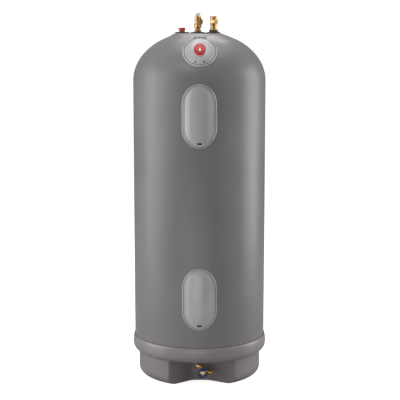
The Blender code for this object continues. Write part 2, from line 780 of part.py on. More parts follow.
def cold_inlet():
    """The cold inlet: a check valve body on a dark insulating bushing, and the dip tube below it."""
    x = PORT_X["cold"]
    here = at(x, 0, 0)
    bushing_top, hex_low, hex_high, top = (TOP_Z + rise for rise in (0.0145, 0.0400, 0.0570, 0.0735))
    bushing = [
        (PIPE_R + GAP, GROMMET_TOP + GAP),
        (0.0200, GROMMET_TOP + GAP),
        (0.0200, bushing_top - 0.002),
        (0.0185, bushing_top),
        (PIPE_R + GAP, bushing_top),
    ]
    lathe("cold_inlet_bushing", bushing, "dark_bushing", segments=20, place=here)
    body = [
        (0.0085, THREAD_FOOT),
        (PIPE_R, THREAD_FOOT),
        (PIPE_R, bushing_top + GAP),
        (0.0150, bushing_top + GAP),
        (0.0150, hex_low + 0.002),
        (0.0155, hex_high - 0.002),
        (0.0155, top - 0.001),
        (0.0148, top),
        (0.0128, top),
        (0.0128, top - 0.0200),
        (0.0080, top - 0.0200),
        (0.0080, TOP_Z + 0.0505),
        (0.0115, TOP_Z + 0.0500),
        (0.0115, TOP_Z + 0.0310),
        (0.0085, TOP_Z + 0.0300),
    ]
    inlet = lathe("cold_inlet_body", body, "brass", segments=20, place=here)
    nut = prism("wrench_hex", hexagon(0.036), hex_low, hex_high, None, here)
    inside = cylinder_profile(0.0140, hex_low - 0.01, hex_high + 0.01)
    cut(nut, lathe("hex_inside", inside, segments=20, place=here))
    join(inlet, nut)
    foot, disc, face = TOP_Z + 0.0445, TOP_Z + 0.0468, TOP_Z + 0.0496
    poppet = [(0, foot), (0.0030, foot), (0.0030, disc), (0.0098, disc), (0.0098, face), (0, face)]
    lathe("cold_check_poppet", poppet, "white_plastic", segments=16, place=here)
    coil = helix(Vector((x, 0, 0)), 0.0095, TOP_Z + 0.0322, TOP_Z + 0.0456, 3)
    sweep("cold_check_spring", coil, 0.0007, "steel", sides=4)
    tube = [
        (0.0080, 0.340),
        (0.0095, 0.340),
        (0.0095, THREAD_FOOT - 0.0040),
        (0.0128, THREAD_FOOT - 0.0038),
        (0.0128, THREAD_FOOT - 0.0005),
        (0.0080, THREAD_FOOT - 0.0005),
    ]
    lathe("dip_tube", tube, "white_plastic", segments=12, place=here)


def conduit_plug():
    profile = [
        (0, TOP_Z - 0.008),
        (0.0105, TOP_Z - 0.008),
        (0.0109, TOP_Z + GAP),
        (0.0135, TOP_Z + GAP),
        (0.0130, TOP_Z + 0.002),
        (0, TOP_Z + 0.0026),
    ]
    lathe("conduit_plug", profile, "black_plastic", segments=16, place=at(*CONDUIT_AT, 0))


# ---------------------------------------------------------------- heating elements and thermostats
def facing_lathe(name, profile, finish_name, x, z, segments=20):
    """A turned piece whose axis runs front to back: heights in the profile are distances towards -Y."""
    made = lathe(name, profile, finish_name, segments=segments)
    made.data.transform(at(x, 0, z) @ FACING)
    return made


def element_port(which):
    z = COVER_Z[which] - ELEMENT_DROP
    profile = [(0.0172, 0.2180), (0.0234, 0.2180), (0.0234, 0.2385), (0.0172, 0.2385)]
    return facing_lathe(which + "_element_port", profile, "brass", 0, z, 16)


def heating_element(which):
    """A screw-in element: hex head, threaded shank, insulating block, and a long hairpin sheath."""
    z = COVER_Z[which] - ELEMENT_DROP
    head = prism(which + "_heating_element", hexagon(0.038), 0.2392, 0.2480, "sheath", at(0, 0, z) @ FACING)
    shank = facing_lathe("shank", cylinder_profile(0.0165, 0.2050, 0.2420), None, 0, z)
    block = facing_lathe("block", cylinder_profile(0.0140, 0.2460, 0.2540), None, 0, z, 12)
    join(head, shank, block)
    spread, reach = 0.0095, 0.110
    path = [(0, -0.210, z + spread), (0, reach, z + spread)]
    path += [
        (0, reach + spread * math.sin(a), z + spread * math.cos(a))
        for a in (math.pi * i / 4 for i in range(1, 4))
    ]
    path += [(0, reach, z - spread), (0, -0.210, z - spread)]
    join(head, sweep("hairpin", path, 0.0040, sides=6))
    terminal = cylinder_profile(0.0032, 0.2520, 0.2575)
    for side in (-1, 1):
        join(head, facing_lathe("terminal", terminal, None, side * 0.0075, z, 6))
    return head


def control_case(name, z, half_height):
    """The moulded case of a thermostat or a high-limit switch."""
    low = (-0.024, THERMOSTAT_BACK - THERMOSTAT_DEPTH, z - half_height)
    high = (0.024, THERMOSTAT_BACK, z + half_height)
    return box(name, low, high, "black_plastic", 0.002)


def add_terminals(case, z):
    """Two terminals that stand out of a control's front."""
    front = THERMOSTAT_BACK - THERMOSTAT_DEPTH
    screw = cylinder_profile(0.0036, -front - 0.003, -front + 0.0025)
    for x in (-0.016, 0.016):
        join(case, facing_lathe("terminal", screw, None, x, z, 6))


def thermostat(which):
    """A snap-disc control with a pocket for its dial, and two terminals up and two down."""
    z = THERMOSTAT_Z[which]
    front = THERMOSTAT_BACK - THERMOSTAT_DEPTH
    body = control_case(which + "_thermostat", z, 0.037)
    pocket = cylinder_profile(DIAL_R + GAP, -front - 0.004, -front + 0.02)
    cut(body, facing_lathe("dial_pocket", pocket, None, DIAL_X, z, 16))
    for level in (-0.029, 0.029):
        add_terminals(body, z + level)
    dial = cylinder_profile(DIAL_R, -front - 0.0036, -front + 0.0022)
    knob = facing_lathe(which + "_thermostat_dial", dial, "white_plastic", DIAL_X, z, 20)
    low = (DIAL_X - 0.0055, front - 0.01, z - 0.0008)
    high = (DIAL_X + 0.0055, front - 0.0006, z + 0.0008)
    cut(knob, box("dial_slot", low, high))


def high_limit_switch():
    """The manual-reset cut-out above the upper thermostat, and its red button."""
    z = COVER_Z["upper"] + 0.0775
    front = THERMOSTAT_BACK - THERMOSTAT_DEPTH
    body = control_case("high_limit_switch", z, 0.024)
    pocket = cylinder_profile(0.0048, -front - 0.008, -front + 0.02)
    cut(body, facing_lathe("button_pocket", pocket, None, 0, z - 0.006, 16))
    add_terminals(body, z + 0.013)
    button = cylinder_profile(0.0044, -front - 0.0042, -front + 0.0045)
    facing_lathe("reset_button", button, "red_plastic", 0, z - 0.006, 16)


def thermostat_bracket(which):
    """The spring clip: a ring round the element's neck, and two arms that hold the thermostat."""
    ring_z = COVER_Z[which] - ELEMENT_DROP
    z = THERMOSTAT_Z[which]
    front = -THERMOSTAT_BACK + THERMOSTAT_DEPTH
    ring_profile = [(0.0240, 0.2330), (0.0310, 0.2330), (0.0310, 0.2345), (0.0240, 0.2345)]
    clip = facing_lathe(which + "_thermostat_bracket", ring_profile, "steel", 0, ring_z, 16)
    for side in (-1, 1):
        near, far = sorted((side * 0.0246, side * 0.0265))
        arm = box("arm", (near, -front - 0.0020, ring_z + 0.012), (far, -0.2330, z + 0.020))
        tab_near, tab_far = sorted((side * 0.0200, side * 0.0265))
        tab = box("tab", (tab_near, -front - 0.0020, z + 0.006), (tab_far, -front - 0.0006, z + 0.020))
        join(clip, arm, tab)
    return clip


# ---------------------------------------------------------------- drain line and valve
def drain_pipe():
    """The bent tube from the middle of the tank's bowl to the back of the bay."""
    knots = [
        (0, 0, 0.158),
        (0, 0, 0.124),
        (0, -0.007, 0.100),
        (-0.002, -0.034, 0.084),
        (ELBOW.x + 0.001, -0.068, ELBOW.z),
        (ELBOW.x, -0.095, ELBOW.z),
        (ELBOW.x, BAY_BACK_Y + 0.0315, ELBOW.z),
    ]
    return sweep("drain_pipe", smooth_path(knots, 2), 0.0105, "liner_plastic", sides=8, bore=0.0082)


def ball_profile(radius):
    return [(0, -radius), *arc((0, 0), (radius, radius), -60, 60, 4), (0, radius)]


def drain_elbow():
    """A street elbow: a shank through the bay's back wall with its nut, and a turn towards the valve."""
    wall = -BAY_BACK_Y
    shank = cylinder_profile(0.0112, wall - 0.031, -VALVE.y)
    elbow = facing_lathe("drain_elbow", shank, "brass", ELBOW.x, ELBOW.z, 16)
    in_line = at(ELBOW.x, 0, ELBOW.z) @ FACING
    nut = prism("wall_nut", hexagon(0.027), wall + GAP, wall + 0.0070, None, in_line)
    ball = lathe("elbow_ball", ball_profile(0.0135), segments=12, place=at(*ELBOW))
    leg = valve_leg("elbow_leg", cylinder_profile(0.0128, 0.0, ELBOW_LEG), ELBOW, INLET_ANGLE + math.pi)
    join(elbow, nut, ball, leg)
    socket = [(0, 0), (0.0070, 0), (0.0070, 0.0085), (0.0098, 0.0085), (0.0098, 0.03), (0, 0.03)]
    shank_bore = cylinder_profile(0.0075, wall - 0.05, 0.003 - VALVE.y)
    bore = facing_lathe("shank_bore", shank_bore, None, ELBOW.x, ELBOW.z, 12)
    join(bore, valve_leg("elbow_socket", socket, ELBOW, INLET_ANGLE + math.pi))
    return cut(elbow, bore)


def valve_leg(name, profile, start, angle):
    """A turned piece whose axis leaves start in the plane across the heater, at an angle from +X."""
    turn = Matrix.Rotation(-angle, 4, "Y") @ Matrix.Rotation(math.pi / 2, 4, "Y")
    return lathe(name, profile, segments=16, place=Matrix.Translation(start) @ turn)


def drain_valve_body():
    """A globe body with an angled inlet leg, a hose-thread outlet and a bonnet neck towards the front."""
    body = lathe("drain_valve_body", ball_profile(0.0150), "brass", segments=16)
    body.data.transform(Matrix.Translation(VALVE))
    shoulder = ELBOW_REACH - ELBOW_LEG - GAP
    thread = [(0, 0), (0.0118, 0), (0.0118, shoulder), (0.0092, shoulder), (0.0092, 0.0220), (0, 0.0220)]
    inlet = valve_leg("inlet_leg", thread, VALVE, INLET_ANGLE)
    hose = [
        (0, 0),
        (0.0102, 0),
        (0.0102, 0.0215),
        (0.0118, 0.0230),
        (0.0118, 0.0390),
        (0.0110, 0.0405),
        (0, 0.0405),
    ]
    outlet = valve_leg("outlet_leg", hose, VALVE, OUTLET_ANGLE)
    front = -VALVE.y
    bonnet = cylinder_profile(0.0108, front, front + 0.0185)
    neck = facing_lathe("bonnet_neck", bonnet, None, VALVE.x, VALVE.z)
    join(body, inlet, outlet, neck)
    chamber = [(0, front - 0.0070), (0.0078, front - 0.0070), (0.0078, front + 0.03), (0, front + 0.03)]
    bores = facing_lathe("chamber", chamber, None, VALVE.x, VALVE.z, 16)
    join(bores, valve_leg("outlet_bore", cylinder_profile(0.0072, 0.002, 0.05), VALVE, OUTLET_ANGLE))
    join(bores, valve_leg("inlet_bore", cylinder_profile(0.0060, 0.002, 0.05), VALVE, INLET_ANGLE))
    return cut(body, bores)


def drain_packing_nut():
    front = -VALVE.y
    low, high = front + 0.0189, front + 0.0275
    nut = prism("drain_packing_nut", hexagon(0.022), low, high, "brass", at(VALVE.x, 0, VALVE.z) @ FACING)
    return cut(nut, stem_bore("nut_bore"))


def stem_bore(name):
    return facing_lathe(name, cylinder_profile(0.0041, 0.2, 0.3), None, VALVE.x, VALVE.z, 12)


def drain_stem_parts():
    """The swivel washer, the stem with its disc, and the nut that holds the wheel on the stem."""
    front = -VALVE.y
    washer = [(0, front - 0.0066), (0.0072, front - 0.0066), (0.0072, front - 0.0030), (0, front - 0.0030)]
    facing_lathe("drain_seat_washer", washer, "black_rubber", VALVE.x, VALVE.z, 16)
    stem = [
        (0, front - 0.0026),
        (0.0070, front - 0.0026),
        (0.0070, front + 0.0020),
        (0.0038, front + 0.0030),
        (0.0038, front + 0.0440),
        (0, front + 0.0440),
    ]
    facing_lathe("drain_stem", stem, "brass", VALVE.x, VALVE.z, 16)
    face = front + 0.0395 + GAP
    inside = front + 0.0440 + GAP
    nut = [
        (0, inside),
        (0.0041, inside),
        (0.0041, face),
        (0.0098, face),
        (0.0098, face + 0.0014),
        (0.0070, face + 0.0016),
        (0.0070, face + 0.0050),
        (0.0048, face + 0.0072),
        (0, face + 0.0080),
    ]
    facing_lathe("drain_wheel_nut", nut, "brass", VALVE.x, VALVE.z, 12)


def drain_handwheel():
    """A round rim and a hub, with four broad spokes between them."""
    low = 0.0340 - VALVE.y
    rim = arc((WHEEL_R, low + 0.002), (WHEEL_TUBE, WHEEL_TUBE), 0, 300, 5)
    wheel = facing_lathe("drain_handwheel", rim, "blue_enamel", VALVE.x, VALVE.z, 24)
    hub = cylinder_profile(0.0095, low - 0.002, low + 0.0055)
    join(wheel, facing_lathe("hub", hub, None, VALVE.x, VALVE.z, 16))
    spokes = 4
    for k in range(spokes):
        spoke = box("spoke", (0.007, -0.0032, low - 0.0005), (WHEEL_R, 0.0032, low + 0.0040))
        turn = Matrix.Rotation(2 * math.pi * (k + 0.5) / spokes, 4, "Z")
        spoke.data.transform(at(VALVE.x, 0, VALVE.z) @ FACING @ turn)
        join(wheel, spoke)
    return cut(wheel, stem_bore("wheel_bore"))


# ---------------------------------------------------------------- wiring
def wire(name, knots, finish_name, steps=3):
    return sweep(name, smooth_path(knots, steps), 0.0017, finish_name, sides=4)


def wiring():
    duct = -0.258
    lead = THERMOSTAT_BACK - THERMOSTAT_DEPTH - 0.0046
    well_top = COVER_Z["upper"] + WELL_H / 2
    high_limit_z = COVER_Z["upper"] + 0.0905
    for side, name in ((-1, "black"), (1, "red")):
        wire(
            "line_wire_" + name,
            [
                (side * 0.028, -0.212, 1.455),
                (side * 0.022, -0.236, 1.428),
                (side * 0.013, duct, 1.398),
                (side * 0.012, duct, well_top + 0.004),
                (side * 0.014, lead - 0.004, well_top - 0.022),
                (side * 0.016, lead, high_limit_z),
            ],
            "wire_" + name,
        )
    wire(
        "ground_wire",
        [
            (0.004, -0.216, 1.445),
            (0.002, -0.240, 1.418),
            (0.000, duct, 1.386),
            (0.001, -0.262, well_top + 0.008),
            (0.003, -0.264, well_top - 0.006),
            (0.016, -0.272, well_top - 0.020),
            (0.040, -0.264, well_top - 0.040),
            (0.044, -0.256, COVER_Z["upper"] + 0.050),
            (0.040, -0.248, COVER_Z["upper"] - 0.035),
            (0.0285, -0.2375, COVER_Z["upper"] - ELEMENT_DROP + 0.010),
        ],
        "wire_green",
    )
    upper_terminal = THERMOSTAT_Z["upper"] - 0.029
    lower_terminal = THERMOSTAT_Z["lower"] + 0.029
    well_foot = COVER_Z["upper"] - WELL_H / 2
    lower_well_top = COVER_Z["lower"] + WELL_H / 2
    for side, name in ((-1, "blue"), (1, "yellow")):
        wire(
            "lower_wire_" + name,
            [
                (side * 0.016, lead, upper_terminal),
                (side * 0.030, lead - 0.004, upper_terminal - 0.022),
                (side * 0.034, lead, upper_terminal - 0.060),
                (side * 0.016, duct, well_foot + 0.012),
                (side * 0.013, duct, well_foot - 0.030),
                (side * 0.013, duct, lower_well_top + 0.040),
                (side * 0.013, duct, lower_well_top - 0.014),
                (side * 0.015, lead - 0.004, lower_terminal + 0.030),
                (side * 0.016, lead, lower_terminal),
            ],
            "wire_" + name,
        )


# ---------------------------------------------------------------- assembly
def build():
    clear_scene()
    base_pedestal()
    outer_jacket()
    foam_insulation()
    tank_shell("tank_liner", 0.0, LINER_WALL, "liner_plastic")
    tank_shell("tank_winding", LINER_WALL + GAP, LINER_WALL + GAP + WINDING_WALL, "fibreglass")
    for which in PORT_X:
        port_insert(which)
        port_grommet(which)
    hot_outlet()
    relief_valve()
    cold_inlet()
    conduit_plug()
    junction_box()
    junction_cover()
    cover_badge()
    junction_screw(-1, "junction_screw_left")
    junction_screw(1, "junction_screw_right")
    for which in COVER_Z:
        access_well(which)
        access_cover(which)
        element_port(which)
        heating_element(which)
        thermostat(which)
        thermostat_bracket(which)
    high_limit_switch()
    drain_pipe()
    drain_elbow()
    drain_valve_body()
    drain_packing_nut()
    drain_stem_parts()
    drain_handwheel()
    wiring()


build()
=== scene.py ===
"""The looks of a domed electric tank water heater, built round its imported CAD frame.

Metres, +Z up, the same frame as the CAD: the covers and the drain valve face -Y.
"""

from math import acos, cos, degrees, hypot, pi, radians, sin, sqrt, tan

import bmesh
import bpy
import numpy as np
from mathutils import Matrix, Vector


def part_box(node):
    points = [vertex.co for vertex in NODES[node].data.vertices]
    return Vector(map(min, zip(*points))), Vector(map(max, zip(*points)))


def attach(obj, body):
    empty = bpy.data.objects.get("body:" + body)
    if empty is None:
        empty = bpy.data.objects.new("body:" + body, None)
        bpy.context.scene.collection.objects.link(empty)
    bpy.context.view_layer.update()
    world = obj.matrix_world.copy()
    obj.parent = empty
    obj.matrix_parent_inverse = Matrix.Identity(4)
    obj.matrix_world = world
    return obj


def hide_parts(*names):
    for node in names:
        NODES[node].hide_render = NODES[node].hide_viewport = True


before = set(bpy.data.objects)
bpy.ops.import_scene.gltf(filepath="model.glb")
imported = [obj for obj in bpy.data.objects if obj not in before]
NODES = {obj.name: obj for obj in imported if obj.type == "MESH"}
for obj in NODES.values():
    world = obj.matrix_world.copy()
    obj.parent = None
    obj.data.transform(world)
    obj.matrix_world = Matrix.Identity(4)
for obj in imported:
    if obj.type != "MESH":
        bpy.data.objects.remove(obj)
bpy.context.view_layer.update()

# ---- dimensions, the same as the CAD's
GAP = 0.0004
BODY_R = 0.293
JACKET_WALL = 0.004
JACKET_SIDES = 176
JACKET_BOTTOM = 0.1355
DOME_Z = 1.3288
DOME_RISE = 0.2155
DOME_FLAT_R = 0.128
TOP_Z = 1.5355
BOSS_R = 0.106
BOSS_FOOT_R = 0.124
PORT_SHIFT = -0.007
PORT_X = {"hot": -0.077, "relief": -0.007, "cold": 0.063}
PIPE_R = 0.01335
GROMMET_TOP = TOP_Z + 0.0045

SKIRT_R = 0.2745
RIM_R = 0.3008
RIM_TOP = 0.1836
FOOT_ROUND = 0.036
BAY_BACK_Y = -0.155
BAY_CEILING = 0.1105
BAY_BACK_X = (-0.034, 0.04)
BAY_MOUTH = ((-0.15, -0.2516), (0.1757, -0.2349))

COVER_W = 0.15
COVER_H = 0.2725
COVER_Z = {"upper": 1.1933, "lower": 0.401}
END_RISE = 1.16
OPENING_W = 0.13
OPENING_H = 0.2525
WINDING_R = 0.2291

JUNCTION_MID = Vector((0.0022, -0.212, 1.4575))
JUNCTION_TILT = radians(48.3)
JUNCTION_SIZE = (0.075, 0.0864)
SCREW_AT = (0.0186, -0.0642, 0.0084)
SCREW_LEAN = radians(17)
BADGE_SIZE = (0.0278, 0.041)
CONDUIT_AT = (0.028, -0.062)

VALVE = Vector((0.015, -0.205, 0.0585))
INLET_ANGLE = radians(133)
OUTLET_ANGLE = radians(-14)
ELBOW_REACH = 0.031
ELBOW = VALVE + ELBOW_REACH * Vector((cos(INLET_ANGLE), 0, sin(INLET_ANGLE)))
WHEEL_R = 0.0204
WHEEL_TUBE = 0.0036
STEM_BORE = 0.0041
RELIEF_YAW = radians(-12)
OUTLET_Z = TOP_Z + 0.0485
FACING = Matrix.Rotation(pi / 2, 4, "X")  # local +Z points to the front, local +Y up


# ---- shapes: (list of points, list of faces)
def arc(middle, radii, start, stop, steps):
    """Points on an ellipse from one angle to another, both ends included, in degrees."""
    turn = [radians(start + (stop - start) * i / steps) for i in range(steps + 1)]
    return [(middle[0] + radii[0] * cos(a), middle[1] + radii[1] * sin(a)) for a in turn]


def circle(count):
    """Angles spread evenly over a whole turn."""
    return [2 * pi * i / count for i in range(count)]


def rounded(points, radius, closed=True, steps=4):
    """The polyline with its corners rounded, as far as the sides beside them allow."""
    count = len(points)
    result = []
    for i, point in enumerate(points):
        on_axis = abs(point[0]) < 1e-7
        if on_axis or (not closed and i in (0, count - 1)):
            result.append(tuple(point))
            continue
        here = Vector(point)
        back = Vector(points[i - 1]) - here
        ahead = Vector(points[(i + 1) % count]) - here
        if min(back.length, ahead.length) < 1e-7:
            continue
        angle = back.angle(ahead)
        if angle > radians(172):
            result.append(tuple(point))
            continue
        reach = min(radius / tan(angle / 2), back.length * 0.45, ahead.length * 0.45)
        first = here + back.normalized() * reach
        last = here + ahead.normalized() * reach
        for k in range(steps + 1):
            t = k / steps
            p = first * (1 - t) ** 2 + here * 2 * t * (1 - t) + last * t * t
            result.append((p.x, p.y))
    return result


def eased(points, rounds=3):
    """The open polyline with its corners cut again and again, into a smooth line."""
    for _ in range(rounds):
        line = [points[0]]
        for (a, b), (c, d) in zip(points, points[1:]):
            line += [(0.75 * a + 0.25 * c, 0.75 * b + 0.25 * d), (0.25 * a + 0.75 * c, 0.25 * b + 0.75 * d)]
        points = [*line, points[-1]]
    return points


def skinned(rings, around=True, ends=True):
    """Faces between rings of points. A ring of one point is a pole; ends joins last to first."""
    points, faces, starts = [], [], []
    for ring in rings:
        starts.append(len(points))
        points.extend(ring)
    pairs = list(zip(range(len(rings)), range(1, len(rings))))
    if ends:
        pairs.append((len(rings) - 1, 0))
    for a, b in pairs:
        count = max(len(rings[a]), len(rings[b]))
        for i in range(count if around else count - 1):
            j = (i + 1) % count
            corners = []
            for ring, k in ((a, i), (a, j), (b, j), (b, i)):
                corner = starts[ring] + (k if len(rings[ring]) > 1 else 0)
                if corner not in corners:
                    corners.append(corner)
            if len(corners) > 2:
                faces.append(tuple(corners))
    return points, faces


def revolve(profile, segments=64, limit=None):
    """Turns (radius, height) points about +Z. limit(angle) caps the radius, as on a hexagon."""
    rings = []
    for r, z in profile:
        if r < 1e-7:
            rings.append([Vector((0, 0, z))])
            continue
        ring = []
        for a in circle(segments):
            reach = min(r, limit(a)) if limit else r
            ring.append(Vector((reach * cos(a), reach * sin(a), z)))
        rings.append(ring)
    on_axis = profile[0][0] < 1e-7 and profile[-1][0] < 1e-7
    return skinned(rings, ends=not on_axis)


def hexagon_limit(across_flats):
    """How far a hexagon reaches, as a function of the angle."""
    return lambda angle: across_flats / 2 / cos((angle + pi / 6) % (pi / 3) - pi / 6)


def hex_nut(across_flats, low, high, bore, chamfer=0.0012, segments=96):
    """A hexagon with the chamfered corners that turning leaves, and a bore."""
    corner = across_flats / 2 / cos(pi / 6) - 0.0002
    face = across_flats / 2 * 0.97
    sides = [(face, low), (corner, low + chamfer), (corner, high - chamfer), (face, high)]
    return revolve([(bore, low), *sides, (bore, high)], segments, hexagon_limit(across_flats))


THREAD_TURN = ((1, 0.1), (0, 0.48), (0, 0.62))  # how deep, and how far along one pitch


def threads(radius, low, high, pitch=0.0018, depth=0.0009):
    """Profile points of a thread's crests and roots, from low to high."""
    points = []
    for i in range(int((high - low) / pitch)):
        z = low + i * pitch
        points += [(radius - depth * sunk, z + pitch * share) for sunk, share in THREAD_TURN]
    return points


def raised(base, *points):
    return [(r, base + z) for r, z in points]


def box_line(left, right, low, high):
    return [(left, low), (right, low), (right, high), (left, high)]


def moved(shape, place):
    points, faces = shape
    return [place @ Vector(p) for p in points], faces


def together(*shapes):
    points, faces = [], []
    for more_points, more_faces in shapes:
        start = len(points)
        points.extend(more_points)
        faces.extend(tuple(i + start for i in face) for face in more_faces)
    return points, faces


def from_front(radius, angle, height):
    """The point this far from the heater's axis, at an angle from the front."""
    return Vector((radius * sin(angle), -radius * cos(angle), height))


def at(x, y, z):
    return Matrix.Translation((x, y, z))


def turned(angle, axis):
    return Matrix.Rotation(angle, 4, axis)


def forward(shape, x, z):
    """Lays a shape that was turned about +Z down at (x, z), so that its heights run towards the front."""
    return moved(shape, at(x, 0, z) @ FACING)


def slab(low, high):
    """A plain block's points and faces, for joining into larger pieces and for cutting."""
    across, along, rise = zip(low, high)
    points = [Vector((x, y, z)) for z in rise for y in along for x in across]
    faces = [(0, 2, 3, 1), (4, 5, 7, 6), (0, 1, 5, 4), (2, 6, 7, 3), (0, 4, 6, 2), (1, 3, 7, 5)]
    return points, faces


def extruded(outline, low, high):
    count = len(outline)
    points = [Vector((x, y, z)) for z in (low, high) for x, y in outline]
    faces = [tuple(reversed(range(count))), tuple(range(count, 2 * count))]
    for i in range(count):
        j = (i + 1) % count
        faces.append((i, j, j + count, i + count))
    return points, faces


# ---- pieces
def plain_object(name, shape):
    points, faces = shape
    work = bmesh.new()
    verts = [work.verts.new(p) for p in points]
    for face in faces:
        try:
            work.faces.new([verts[i] for i in face])
        except ValueError:
            continue
    bmesh.ops.remove_doubles(work, verts=work.verts, dist=2e-6)
    bmesh.ops.dissolve_degenerate(work, edges=work.edges, dist=1e-7)
    bmesh.ops.recalc_face_normals(work, faces=work.faces)
    mesh = bpy.data.meshes.new(name)
    work.to_mesh(mesh)
    work.free()
    made = bpy.data.objects.new(name, mesh)
    bpy.context.scene.collection.objects.link(made)
    return made


def carved(obj, *shapes):
    """Cuts shapes out of an object's mesh."""
    for shape in shapes:
        cutter = plain_object("cutter", shape)
        step = obj.modifiers.new("cut", "BOOLEAN")
        step.operation = "DIFFERENCE"
        step.solver = "EXACT"
        step.object = cutter
        cut = obj.evaluated_get(bpy.context.evaluated_depsgraph_get())
        result = bpy.data.meshes.new_from_object(cut)
        obj.modifiers.clear()
        obj.data = result
        bpy.data.objects.remove(cutter)


def coat(obj, finish):
    obj.data.materials.clear()
    obj.data.materials.append(finish)


def smooth_faces(mesh):
    mesh.polygons.foreach_set("use_smooth", [True] * len(mesh.polygons))


def soft_edges(obj, width, segments):
    edge = obj.modifiers.new("bevel", "BEVEL")
    edge.width = width
    edge.segments = segments
    edge.limit_method = "ANGLE"
    edge.angle_limit = radians(40)


def piece(name, shape, finish, body="heater", stands_for=(), slot=None, cuts=(), sharp=34, bevel=0.0):
    """Makes a shape into a smooth-shaded object of the part, which rides on a CAD body."""
    made = plain_object(name, shape)
    carved(made, *cuts)
    coat(made, finish)
    smooth_faces(made.data)
    made.data.set_sharp_from_angle(angle=radians(sharp))
    if bevel:
        soft_edges(made, bevel, 3)
    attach(made, body)
    if stands_for:
        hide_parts(*stands_for)


def skin(name, shape, finish, node, slot, **more):
    """A piece that stands for one CAD node of the heater's fixed body."""
    piece(name, shape, finish, "heater", (node,), slot, **more)


def dress(node, finish, bevel=0.0, rounds=0):
    """Gives a CAD node its material, and softens its edges or its facets."""
    obj = NODES[node]
    coat(obj, finish)
    if rounds:
        smooth = obj.modifiers.new("rounds", "SUBSURF")
        smooth.levels = rounds
        smooth.render_levels = rounds
    if bevel:
        soft_edges(obj, bevel, 2)


# ---- materials
CROWN_SAG = 0.0167
CROWN_REACH = 0.0058  # the square of a cover's half width, where the crown ends
COAT_ROUGHNESS = 0.12
SPECK_SHARE = 0.22
EDGE_POINTINESS = (0.52, 0.6)


def feed(tree, node, **inputs):
    """Gives inputs a value, or a link from another node's output. An underscore stands for a space."""
    for name, value in inputs.items():
        socket = node.inputs[name.replace("_", " ")]
        if isinstance(value, bpy.types.NodeSocket):
            tree.links.new(value, socket)
        else:
            socket.default_value = value
    return node


def add_node(tree, kind, **inputs):
    return feed(tree, tree.nodes.new("ShaderNode" + kind), **inputs)


def noise_node(tree, where, scale, detail, stretch=(1, 1, 1)):
    mapping = add_node(tree, "Mapping", Scale=stretch, Vector=where)
    noise = add_node(tree, "TexNoise", Scale=scale, Detail=detail, Vector=mapping.outputs["Vector"])
    return noise.outputs["Fac"]


def ranged(tree, value, low, high, start=0.3, stop=0.7):
    """The value, taken from the range start to stop and spread from low to high."""
    node = add_node(tree, "MapRange", From_Min=start, From_Max=stop, To_Min=low, To_Max=high, Value=value)
    return node.outputs["Result"]


def blended(tree, factor, first, second):
    """A mix of two colours; either may be an output socket."""
    node = add_node(tree, "Mix")
    node.data_type = "RGBA"
    feed(tree, node, Factor=factor)
    for socket, colour in ((node.inputs[6], first), (node.inputs[7], second)):
        if isinstance(colour, tuple):
            socket.default_value = (*colour, 1)
        else:
            tree.links.new(colour, socket)
    return node.outputs[2]


def bumped(tree, height, distance, before=None):
    node = add_node(tree, "Bump", Strength=1.0, Distance=distance, Height=height)
    if before is not None:
        feed(tree, node, Normal=before)
    return node.outputs["Normal"]


def crowned(tree, where, before):
    """Bends the shading across a panel, as the crown of a moulding does."""
    split = add_node(tree, "SeparateXYZ", Vector=where)
    square = add_node(tree, "Math")
    square.operation = "MULTIPLY"
    for socket in square.inputs[:2]:
        tree.links.new(split.outputs["X"], socket)
    sag = ranged(tree, square.outputs["Value"], 0.0, -CROWN_SAG, 0.0, CROWN_REACH)
    return bumped(tree, sag, 1.0, before)


def node_material(name):
    made = bpy.data.materials.new(name)
    made.use_nodes = True
    tree = made.node_tree
    return made, tree, tree.nodes["Principled BSDF"], add_node(tree, "TexCoord").outputs["Object"]


def surface(
    name, shades, roughness, patch, grain, waves=None, metallic=0.0, worn=None, streak=None, coat=0.0,
    specular=0.5, crown=False,
):
    """A procedural material.

    shades: two colours that large patches run between. patch: (scale, detail) of the patches.
    grain: (scale, bump distance) of the fine texture. waves: the same for slow undulation.
    streak: (scale, stretch) of drawn-out marks in the roughness. worn: (colour, share) on edges.
    """
    made, tree, shader, where = node_material(name)
    colour = blended(tree, ranged(tree, noise_node(tree, where, *patch), 0, 1), *shades)
    fine = noise_node(tree, where, grain[0], 2.0)
    speck = blended(tree, ranged(tree, fine, 0.0, SPECK_SHARE, 0.35, 0.75), colour, shades[1])
    if worn:
        edges = add_node(tree, "NewGeometry").outputs["Pointiness"]
        speck = blended(tree, ranged(tree, edges, 0, worn[1], *EDGE_POINTINESS), speck, worn[0])
    marks = noise_node(tree, where, streak[0], 4.0, streak[1]) if streak else fine
    normal = bumped(tree, fine, grain[1])
    if waves:
        normal = bumped(tree, noise_node(tree, where, waves[0], 1.0), waves[1], normal)
    if crown:
        normal = crowned(tree, where, normal)
    feed(tree, shader, Metallic=metallic, Specular_IOR_Level=specular, Coat_Weight=coat)
    feed(tree, shader, Coat_Roughness=COAT_ROUGHNESS, Base_Color=speck, Normal=normal)
    feed(tree, shader, Roughness=ranged(tree, marks, *roughness))
    return made


WIRES = {
    "black": (0.012, 0.012, 0.013),
    "red": (0.42, 0.014, 0.012),
    "green": (0.016, 0.2, 0.045),
    "blue": (0.016, 0.05, 0.33),
    "yellow": (0.56, 0.4, 0.025),
}


